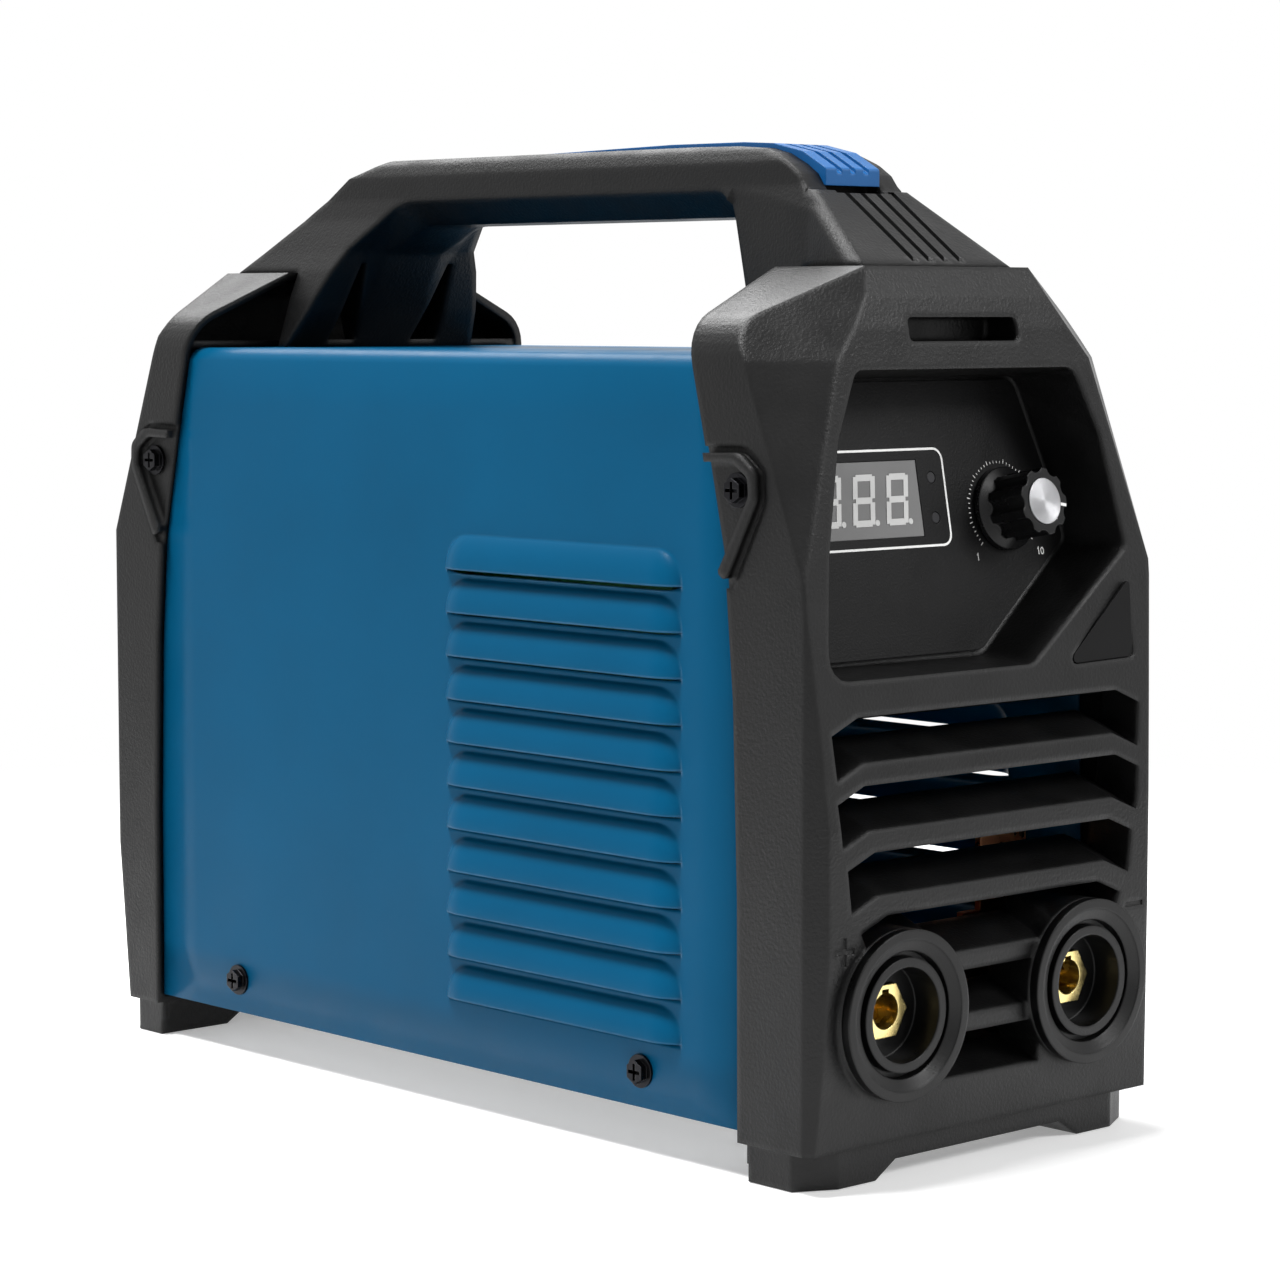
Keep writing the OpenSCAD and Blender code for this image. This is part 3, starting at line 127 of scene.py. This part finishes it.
class Shader(Graph):
    """A surface material. Lengths are in metres, in the frame of the model."""

    def __init__(self, name, color, rough, metallic=0.0, specular=0.5):
        self.name = name
        self.m = bpy.data.materials.new(name)
        self.m.use_nodes = True
        super().__init__(self.m.node_tree)
        self.p = self.t.nodes["Principled BSDF"]
        self.p.inputs["Base Color"].default_value = (*color, 1)
        self.p.inputs["Roughness"].default_value = rough
        self.p.inputs["Metallic"].default_value = metallic
        self.p.inputs["Specular IOR Level"].default_value = specular
        self.m.diffuse_color = (*color, 1)
        self.coord = self.node("TexCoord").outputs["Object"]
        self.normal = None

    def noise(self, size, detail=2.0, rough=0.5, stretch=None):
        """Noise whose grains are about size across, from 0 to 1."""
        n = self.node("TexNoise")
        n.inputs["Scale"].default_value = 1 / size
        n.inputs["Detail"].default_value = detail
        n.inputs["Roughness"].default_value = rough
        place = self.coord
        if stretch:
            mapping = self.node("Mapping")
            mapping.inputs["Scale"].default_value = stretch
            self.link(place, mapping.inputs["Vector"])
            place = mapping.outputs["Vector"]
        self.link(place, n.inputs["Vector"])
        return n.outputs["Fac"]

    def ramp(self, value, low, high, to_low, to_high):
        n = self.node("MapRange")
        self.link(value, n.inputs["Value"])
        for k, v in zip(("From Min", "From Max", "To Min", "To Max"), (low, high, to_low, to_high)):
            n.inputs[k].default_value = v
        return n.outputs["Result"]

    def patches(self, size, detail, to_low=0, to_high=1, low=0.3, high=0.7):
        """A value that wanders between to_low and to_high over patches about size across."""
        return self.ramp(self.noise(size, detail), low, high, to_low, to_high)

    def mix(self, factor, a, b):
        """A colour between two, each one an output or three numbers."""
        n = self.node("Mix", data_type="RGBA")
        self.link(factor, n.inputs["Factor"])
        for value, socket in ((a, n.inputs[6]), (b, n.inputs[7])):
            if isinstance(value, tuple):
                socket.default_value = (*value, 1)
            else:
                self.link(value, socket)
        return n.outputs[2]

    def bevel(self, radius):
        n = self.node("Bevel", samples=BEVEL_SAMPLES)
        n.inputs["Radius"].default_value = radius
        return n

    def edges(self, radius):
        """0 on flat surfaces, 1 near convex and concave edges."""
        d = self.node("VectorMath", operation="DOT_PRODUCT")
        self.link(self.bevel(radius).outputs["Normal"], d.inputs[0])
        self.link(self.node("NewGeometry").outputs["Normal"], d.inputs[1])
        return self.ramp(d.outputs["Value"], EDGE_BEGINS, EDGE_FULL, 0, 1)

    def set_normal(self, output):
        self.normal = output
        self.link(output, self.p.inputs["Normal"])

    def bump(self, height, distance, strength=1.0):
        b = self.node("Bump")
        b.inputs["Strength"].default_value = strength
        b.inputs["Distance"].default_value = distance
        self.link(height, b.inputs["Height"])
        if self.normal is not None:
            self.link(self.normal, b.inputs["Normal"])
        self.set_normal(b.outputs["Normal"])

    def soften(self, radius):
        """Rounds the shading across sharp edges."""
        self.rounding = self.bevel(radius)
        self.set_normal(self.rounding.outputs["Normal"])

    def keep_sharp(self, radius, small, half_x, from_y, to_y):
        """Rounds by small only, where |x| is under half_x and |y| is between from_y and to_y."""
        axis = self.node("SeparateXYZ")
        self.link(self.coord, axis.inputs["Vector"])
        x = self.calc("ABSOLUTE", axis.outputs["X"])
        y = self.calc("ABSOLUTE", axis.outputs["Y"])
        inside = self.calc("LESS_THAN", x, half_x)
        for side in (self.calc("GREATER_THAN", y, from_y), self.calc("LESS_THAN", y, to_y)):
            inside = self.calc("MULTIPLY", inside, side)
        self.link(self.ramp(inside, 0, 1, radius, small), self.rounding.inputs["Radius"])

    def tint(self, output):
        self.link(output, self.p.inputs["Base Color"])

    def gloss(self, output):
        self.link(output, self.p.inputs["Roughness"])


def scaled(c, k):
    return tuple(min(1, x * k) for x in c)


def plastic(name, color, rough, grain=0.00045, depth=0.00003, radius=0.0006, wear=1.6, shine=0.22):
    """Moulded plastic: spark-eroded grain, uneven sheen, edges worn a little lighter."""
    s = Shader(name, color, rough, specular=shine)
    s.soften(radius)
    s.bump(s.noise(grain, 3, 0.6), depth)
    s.gloss(s.patches(0.012, 4, rough - 0.07, rough + 0.08))
    base = s.mix(s.patches(0.03, 3), scaled(color, 0.85), scaled(color, 1.15))
    edge = s.edges(min(radius * 1.2, 0.0012))
    lighter_edges = s.calc("MULTIPLY", edge, s.patches(0.006, 4, 0, 0.8, 0.4, 0.62))
    s.tint(s.mix(lighter_edges, base, scaled(color, wear)))
    return s


def metal(name, color, rough, size=0.0012, stretch=None):
    """Bare metal: fine surface marks, uneven sheen and tone."""
    s = Shader(name, color, rough, metallic=1.0)
    s.soften(0.0003)
    s.bump(s.noise(size, 4, 0.6, stretch), 0.00001)
    s.gloss(s.patches(0.004, 4, rough - 0.06, rough + 0.12))
    s.tint(s.mix(s.patches(0.008, 3, 0, 1, 0.35, 0.65), scaled(color, 0.86), scaled(color, 1.08)))
    return s


def coat(name, color, edge_highlight_color, rough):
    """Powder coat: fine orange peel on a slightly wavy sheet, uneven sheen, and a painted highlight that
    lightens its convex and concave edges.
    """
    s = Shader(name, color, rough, specular=0.07)
    s.soften(0.0004)
    s.bump(s.noise(0.0011, 2, 0.5), 0.000012)
    s.bump(s.noise(0.05, 1), 0.0002, 0.3)
    s.gloss(s.patches(0.02, 4, rough - 0.05, rough + 0.06))
    base = s.mix(s.patches(0.06, 3), scaled(color, 0.93), scaled(color, 1.06))
    # painted highlight: convex and concave edges, such as the louvres' outlines, are lightened in uneven
    # patches to the edge highlight colour, standing in for light caught by the folds
    lighter_edges = s.calc("MULTIPLY", s.edges(0.0008), s.patches(0.008, 4, 0.25, 0.8, 0.35, 0.65))
    s.tint(s.mix(lighter_edges, base, edge_highlight_color))
    return s


def spun(name, color, rough, centre, pitch):
    """Turned metal: fine rings round the axis."""
    s = metal(name, color, rough, 0.0008)
    s.p.inputs["Anisotropic"].default_value = 0.85
    tangent = s.node("Tangent", direction_type="RADIAL", axis="Y")
    s.link(tangent.outputs["Tangent"], s.p.inputs["Tangent"])
    d = s.node("VectorMath", operation="DISTANCE")
    s.link(s.coord, d.inputs[0])
    d.inputs[1].default_value = centre
    turns = s.calc("MULTIPLY", d.outputs["Value"], 2 * math.pi / pitch)
    s.bump(s.calc("SINE", turns), 0.00002)
    return s


# The control panel's frame: x across, y up the panel, z out of it
PANEL_TILT = math.radians(10.5)
PANEL_AT = Vector((0, -126, 165))
PANEL_UP = Vector((0, math.sin(PANEL_TILT), math.cos(PANEL_TILT)))
PANEL_OUT = Vector((0, -math.cos(PANEL_TILT), math.sin(PANEL_TILT)))
KNOB_X = 29.6
CAP_FACE = 16.3


def on_panel(x, y, z):
    return (PANEL_AT + Vector((x, 0, 0)) + PANEL_UP * y + PANEL_OUT * z) * MM


HANDLE_ROUNDING = 0.003
# The grooves on the handle's slopes: their own rounding, half their width, nearest and furthest |y|
GROOVES = (0.00015, 0.0145, 0.1035, 0.1275)

finish = {s.name: s for s in (
    # outside
    plastic("bezel_plastic", (0.003, 0.003, 0.0031), 0.37,
            grain=0.0009, depth=0.00015, radius=0.0022, shine=0.24),
    plastic("handle_plastic", (0.003, 0.003, 0.0031), 0.43,
            grain=0.0009, depth=0.00015, radius=HANDLE_ROUNDING),
    # blue coat: its second colour is the painted edge highlight
    coat("blue_coat", (0.0002, 0.067, 0.148), (0.12, 0.24, 0.36), 0.36),
    metal("zinc_sheet", (0.6, 0.61, 0.62), 0.35, 0.003),
    plastic("grip_rubber", (0.004, 0.08, 0.245), 0.4, radius=0.0004, shine=0.3),
    metal("black_screw", (0.018, 0.018, 0.02), 0.28, 0.0006),
    # control panel
    plastic("panel_film", (0.003, 0.003, 0.0032), 0.38,
            grain=0.0006, depth=0.00009, radius=0.0003, wear=1.2, shine=0.14),
    plastic("badge_film", (0.0035, 0.0035, 0.0037), 0.42,
            grain=0.0005, depth=0.00002, radius=0.0003, wear=1.2, shine=0.1),
    plastic("display_grey", (0.15, 0.15, 0.15), 0.38,
            grain=0.0004, depth=0.000006, radius=0.0003, wear=1.1),
    plastic("digit_white", (0.5, 0.5, 0.495), 0.4,
            grain=0.0004, depth=0.000004, radius=0.0002, wear=1.0),
    plastic("print_white", (0.74, 0.74, 0.73), 0.45,
            grain=0.0003, depth=0.000003, radius=0.0001, wear=1.0),
    plastic("lamp_lens", (0.02, 0.02, 0.022), 0.3,
            grain=0.0004, depth=0.000004, radius=0.0002, wear=1.0),
    plastic("board_green", (0.01, 0.09, 0.035), 0.4,
            grain=0.0008, depth=0.00001, radius=0.0002, wear=1.3),
    metal("plated_part", (0.66, 0.66, 0.67), 0.3),
    plastic("knob_plastic", (0.004, 0.004, 0.0043), 0.27,
            grain=0.0003, depth=0.000008, wear=1.5),
    spun("spun_alloy", (0.33, 0.33, 0.34), 0.34, on_panel(KNOB_X, 0, CAP_FACE), 0.0003),
    # sockets and straps
    plastic("socket_plastic", (0.0022, 0.0022, 0.0023), 0.33,
            grain=0.0006, depth=0.00004, radius=0.0008, wear=1.8),
    metal("contact_brass", (0.82, 0.66, 0.28), 0.2, 0.0008),
    metal("copper_strap", (0.75, 0.34, 0.17), 0.3),
    # inside
    metal("sink_alloy", (0.62, 0.63, 0.65), 0.38, 0.002, stretch=(1, 0.1, 1)),
    plastic("black_epoxy", (0.015, 0.015, 0.016), 0.5, grain=0.0004),
    plastic("ferrite", (0.03, 0.03, 0.033), 0.55, grain=0.0006),
    metal("enamel_wire", (0.6, 0.2, 0.06), 0.25),
    plastic("ring_core", (0.03, 0.06, 0.03), 0.4),
    plastic("capacitor_sleeve", (0.012, 0.018, 0.07), 0.3, grain=0.001, depth=0.000005),
    plastic("relay_case", (0.015, 0.02, 0.09), 0.4),
    # rear
    plastic("fan_plastic", (0.012, 0.012, 0.012), 0.45),
    plastic("switch_plastic", (0.01, 0.01, 0.0105), 0.3,
            grain=0.0005, depth=0.000006, radius=0.0004),
    plastic("gland_nylon", (0.013, 0.013, 0.0135), 0.45,
            grain=0.0006, depth=0.000012, radius=0.0005),
)}
finish["handle_plastic"].keep_sharp(HANDLE_ROUNDING, *GROOVES)

slot_of = {s["node"]: s["material_slot"] for s in frame["record"]["subparts"]}
for name, obj in nodes.items():
    obj.data.materials.clear()
    obj.data.materials.append(finish[slot_of[name]].m)


def add_piece(name, bm, shader, body):
    """Turns a bmesh into a named piece that rides on a body."""
    mesh = bpy.data.meshes.new(name)
    bm.to_mesh(mesh)
    bm.free()
    obj = bpy.data.objects.new(name, mesh)
    scene.collection.objects.link(obj)
    mesh.materials.append(shader.m)
    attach(obj, body)
    return obj


# ---------- cover: one bent sheet with pressed louvres on both sides ----------

SHEET_M = 0.001
COVER_W, COVER_TOP, COVER_LOW = 125.2, 206.5, 12.4
BEND_R, BEND_STEPS = 5.0, 6
# The front edge, hidden in the bezel, as (y, z) from the ground up; the rear edge mirrors it
COVER_EDGE = [(-128, 10), (-127.7, 71), (-126.1, 121), (-123.5, 151), (-116.3, 183), (-108, 218.5)]
LAST_FLAT_Z = 190.0
LOUVRES, LOUVRE_Z, LOUVRE_PITCH = 11, 31.0, 11.7
LOUVRE_H, LOUVRE_OUT, LOUVRE_END = 9.3, 3.6, 9.6
LOUVRE_Y0, LOUVRE_Y1 = -102.0, -9.0
# Powers that round a louvre's ends, its upper edge and its fold into the sheet
END_POWER, TOP_POWER, FOLD_POWER = 2.3, 1.9, 0.72
# How far the mouth opens below the lip, for the top louvre and for the others
TOP_MOUTH, MOUTH = 1.3, 0.8
# Rows of flat sheet just below a mouth, measured from the lip, and just above a louvre
BELOW_LIP, ABOVE_LOUVRE = 1.6, 0.35
LOUVRE_ROWS, END_COLUMNS = 24, 14
TOLERANCE, WELD_M = 0.01, 0.000002

near_end = [LOUVRE_END * (1 - math.cos(math.pi / 2 * i / END_COLUMNS)) for i in range(END_COLUMNS + 1)]
COLUMNS = ([-107.5, -105, LOUVRE_Y0 - 0.5] + [LOUVRE_Y0 + d for d in near_end]
           + [-80, -65, -50, -35, -22] + [LOUVRE_Y1 - d for d in reversed(near_end)]
           + [LOUVRE_Y1 + 0.5, 5, 30, 55, 80, 107.5])


def cover_edge(z):
    """Y of the cover's front edge at height z."""
    for (y0, z0), (y1, z1) in zip(COVER_EDGE, COVER_EDGE[1:]):
        if z <= z1:
            return y0 + (y1 - y0) * (z - z0) / (z1 - z0)
    return COVER_EDGE[-1][0]


def louvre_shape(y, u):
    """How far a louvre stands out at y and at the share u of its height, as a share of its depth."""
    a = max(0.0, 1 - min(y - LOUVRE_Y0, LOUVRE_Y1 - y) / LOUVRE_END)
    if a >= 1 or u >= 1:
        return 0.0
    r = a ** END_POWER + u ** TOP_POWER
    return (1 - r) ** FOLD_POWER if r < 1 else 0.0


def side_heights():
    """The rows of one side from its lower edge up, as (height, share of a louvre's height or None,
    height of the lip above a mouth or None)."""
    rows = [(COVER_LOW, None, None)]
    for k in range(LOUVRES):
        z = LOUVRE_Z + k * LOUVRE_PITCH
        rows.append((z - BELOW_LIP, None, None))
        rows.append((z - (TOP_MOUTH if k == LOUVRES - 1 else MOUTH), None, z))
        rows += [(z + LOUVRE_H * i / LOUVRE_ROWS, i / LOUVRE_ROWS, None) for i in range(LOUVRE_ROWS + 1)]
        rows.append((z + LOUVRE_H + ABOVE_LOUVRE, None, None))
    rows.append((LAST_FLAT_Z, None, None))
    return rows


def across(z):
    """Y of every column at height z, from the front edge to the rear one."""
    return [cover_edge(z)] + COLUMNS + [-cover_edge(z)]


def side_row(sign, z, share, lip):
    line = []
    for y in across(lip or z):
        inside = LOUVRE_Y0 <= y <= LOUVRE_Y1
        out, height = 0.0, z
        if share is not None and inside:
            out = LOUVRE_OUT * louvre_shape(y, share)
        if lip:
            # the mouth closes towards the louvre's ends
            height = lip - (lip - z) * (louvre_shape(y, 0) if inside else 0)
        line.append((sign * (COVER_W / 2 + out), y, height))
    return line


def bend_rows():
    """Rows over both top bends, from the left side to the right one."""
    mid_x, mid_z = COVER_W / 2 - BEND_R, COVER_TOP - BEND_R
    turns = [math.pi / 2 * i / BEND_STEPS for i in range(BEND_STEPS + 1)]
    arcs = [(-mid_x - BEND_R * math.cos(a), mid_z + BEND_R * math.sin(a)) for a in turns[1:]]
    arcs += [(mid_x + BEND_R * math.sin(a), mid_z + BEND_R * math.cos(a)) for a in turns]
    return [[(x, y, z) for y in across(z)] for x, z in arcs]


def build_cover():
    heights = side_heights()
    rows = [side_row(-1, *h) for h in heights] + bend_rows() + [side_row(1, *h) for h in reversed(heights)]
    # The strips between a mouth's row and its lip's row stay open along the louvre, on either side
    below = [i for i, h in enumerate(heights) if h[2]]
    strips = set(below) | {len(rows) - 2 - i for i in below}
    low, high = LOUVRE_Y0 - TOLERANCE, LOUVRE_Y1 + TOLERANCE
    along = [False] + [low <= y0 and y1 <= high for y0, y1 in zip(COLUMNS, COLUMNS[1:])] + [False]

    bm = bmesh.new()
    grid = [[bm.verts.new(Vector(q) * MM) for q in row] for row in rows]
    for r, (a, b) in enumerate(zip(grid, grid[1:])):
        for c, in_louvre in enumerate(along):
            if not (in_louvre and r in strips):
                bm.faces.new((a[c], b[c], b[c + 1], a[c + 1])).smooth = True
    bmesh.ops.remove_doubles(bm, verts=bm.verts, dist=WELD_M)
    bmesh.ops.recalc_face_normals(bm, faces=bm.faces)
    top = max(bm.faces, key=lambda f: f.calc_center_median().z)
    if top.normal.z < 0:
        bmesh.ops.reverse_faces(bm, faces=bm.faces)

    obj = add_piece("cover_sheet", bm, finish["blue_coat"], "machine")
    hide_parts("cover")
    thick = obj.modifiers.new("sheet", "SOLIDIFY")
    thick.thickness = SHEET_M
    thick.offset = -1


build_cover()


# ---------- printed marks ----------

PRINT_THICK = 0.06


def add_print(name, outlines, height, body):
    """Thin raised print made of flat outlines, at a height above the panel."""
    bm = bmesh.new()
    for outline in outlines:
        low = [bm.verts.new(on_panel(x, y, height)) for x, y in outline]
        high = [bm.verts.new(on_panel(x, y, height + PRINT_THICK)) for x, y in outline]
        bm.faces.new(high)
        bm.faces.new(low[::-1])
        for i in range(len(outline)):
            j = (i + 1) % len(outline)
            bm.faces.new((low[i], low[j], high[j], high[i]))
    bmesh.ops.recalc_face_normals(bm, faces=bm.faces)
    add_piece(name, bm, finish["print_white"], body)


def ray(r, degrees):
    """The point at a distance r from the knob's axis."""
    a = math.radians(degrees)
    return (KNOB_X + r * math.cos(a), r * math.sin(a))


def arc(cx, cy, r, a0, a1, n):
    turns = [math.radians(a0 + (a1 - a0) * i / n) for i in range(n + 1)]
    return [(cx + r * math.cos(a), cy + r * math.sin(a)) for a in turns]


def band(path, width, closed=False):
    """Quads along a path, mitred at its points."""
    n = len(path)
    sides = []
    for i in range(n):
        a = Vector(path[i - 1] if closed or i else path[0])
        b = Vector(path[i])
        c = Vector(path[(i + 1) % n] if closed or i < n - 1 else path[i])
        u = (b - a).normalized() if (b - a).length else (c - b).normalized()
        v = (c - b).normalized() if (c - b).length else u
        t = (u + v).normalized()
        normal = Vector((-t.y, t.x)) * width / 2 / max(0.5, t.dot(u))
        sides.append((tuple(b + normal), tuple(b - normal)))
    return [[sides[i][0], sides[(i + 1) % n][0], sides[(i + 1) % n][1], sides[i][1]]
            for i in range(n if closed else n - 1)]


def box_path(x0, y0, x1, y1, r):
    return (arc(x1 - r, y0 + r, r, -90, 0, 5) + arc(x1 - r, y1 - r, r, 0, 90, 5)
            + arc(x0 + r, y1 - r, r, 90, 180, 5) + arc(x0 + r, y0 + r, r, 180, 270, 5))


def numeral(text, x, y, h):
    """Plain dial numerals of 1 and 0, with x and y in the middle of the first one."""
    stroke = h * 0.16
    out = []
    for k, c in enumerate(text):
        cx = x + k * h * 0.72
        if c == "1":
            flag = (cx - h * 0.2, y + h * 0.25)
            out += band([flag, (cx, y + h / 2), (cx, y - h / 2)], stroke)
        else:
            turns = [2 * math.pi * i / 16 for i in range(16)]
            ring = [(cx + h * 0.27 * math.cos(t), y + h * 0.45 * math.sin(t)) for t in turns]
            out += band(ring, stroke, True)
    return out


PANEL_FACE = 1.0
FRAME_BOX, FRAME_CORNER, FRAME_LINE = (-45.0, -8.4, 8.8, 16.8), 3.0, 0.6
TICKS, TICK_FROM, TICK_SPAN = 46, -38.5, 261.5
TICK_R, TICK_LONG, TICK_SHORT, TICK_LINE = 12.3, 1.1, 0.6, 0.22
NUMERALS, NUMERAL_H = (("1", 18.1, -12.2), ("10", 42.0, -11.6)), 1.9

marks = band(box_path(*FRAME_BOX, FRAME_CORNER), FRAME_LINE, True)
for i in range(TICKS):
    angle = TICK_FROM + TICK_SPAN * i / (TICKS - 1)
    length = TICK_SHORT if i % 5 else TICK_LONG
    marks += band([ray(TICK_R, angle), ray(TICK_R + length, angle)], TICK_LINE)
for text, x, y in NUMERALS:
    marks += numeral(text, x, y, NUMERAL_H)
add_print("panel_print", marks, PANEL_FACE, "machine")

POINTER_ANGLE, POINTER_R0, POINTER_R1, POINTER_LINE = -9, 6.3, 8.5, 0.8
KNOB_FACE = 16.0
pointer = [ray(POINTER_R0, POINTER_ANGLE), ray(POINTER_R1, POINTER_ANGLE)]
add_print("knob_pointer", band(pointer, POINTER_LINE), KNOB_FACE, "knob")


# ---------- stage ----------

# The floor takes the shadow near the machine and fades to white further out
FLOOR_HALF, FLOOR_Z = 6, -0.0002
FLOOR_COLOR, FLOOR_ROUGH, FLOOR_GLOW = (0.86, 0.86, 0.86, 1), 0.6, 0.3
FADE_FROM, FADE_TO = 0.3, 0.75
FILL_LIGHT, SEEN_WHITE = 0.2, 1.0

pale = bpy.data.materials.new("studio_floor")
pale.use_nodes = True
g = Graph(pale.node_tree)
matte = g.t.nodes["Principled BSDF"]
matte.inputs["Base Color"].default_value = FLOOR_COLOR
matte.inputs["Roughness"].default_value = FLOOR_ROUGH
direct = g.seen_direct()
lit = g.node("AddShader")
g.link(matte.outputs["BSDF"], lit.inputs[0])
g.link(g.glow(g.calc("MULTIPLY", direct, FLOOR_GLOW)), lit.inputs[1])
away = g.node("VectorMath", operation="LENGTH")
g.link(g.node("TexCoord").outputs["Object"], away.inputs[0])
fade = g.node("MapRange", interpolation_type="SMOOTHSTEP")
fade.inputs["From Min"].default_value = FADE_FROM
fade.inputs["From Max"].default_value = FADE_TO
g.link(away.outputs["Value"], fade.inputs["Value"])
white_out = g.calc("MULTIPLY", fade.outputs["Result"], direct)
surface = g.mix_surfaces(white_out, lit.outputs["Shader"], g.glow(SEEN_WHITE))
g.link(surface, g.t.nodes["Material Output"].inputs["Surface"])

h = FLOOR_HALF
mesh = bpy.data.meshes.new("floor")
mesh.from_pydata([(x, y, FLOOR_Z) for x, y in ((-h, -h), (h, -h), (h, h), (-h, h))], [], [(0, 1, 2, 3)])
mesh.materials.append(pale)
floor = bpy.data.objects.new("floor", mesh)
scene.collection.objects.link(floor)

world = bpy.data.worlds.new("studio")
scene.world = world
world.use_nodes = True
g = Graph(world.node_tree)
back, white = g.t.nodes["Background"], g.node("Background")
for shader, strength in ((back, FILL_LIGHT), (white, SEEN_WHITE)):
    shader.inputs["Color"].default_value = WHITE
    shader.inputs["Strength"].default_value = strength
sky = g.mix_surfaces(g.seen_direct(), back.outputs["Background"], white.outputs["Background"])
g.link(sky, g.t.nodes["World Output"].inputs["Surface"])


def lamp(name, place, target, size, power):
    """A square soft lamp, in metres and watts."""
    light = bpy.data.lights.new(name, "AREA")
    light.shape = "RECTANGLE"
    light.size = light.size_y = size
    light.energy = power
    obj = bpy.data.objects.new(name, light)
    obj.location = place
    obj.rotation_euler = (Vector(target) - Vector(place)).to_track_quat("-Z", "Y").to_euler()
    scene.collection.objects.link(obj)


lamp("left_box", place=(-0.62, 0.2, 1.92), target=(0, 0, 0.12), size=0.5, power=61)
lamp("front_box", place=(0.7, -1.45, 1.15), target=(0, 0, 0.12), size=0.6, power=22)
lamp("rear_box", place=(0.35, 0.95, 1.35), target=(0, 0, 0.2), size=0.9, power=17)

scene.view_settings.view_transform = "Standard"
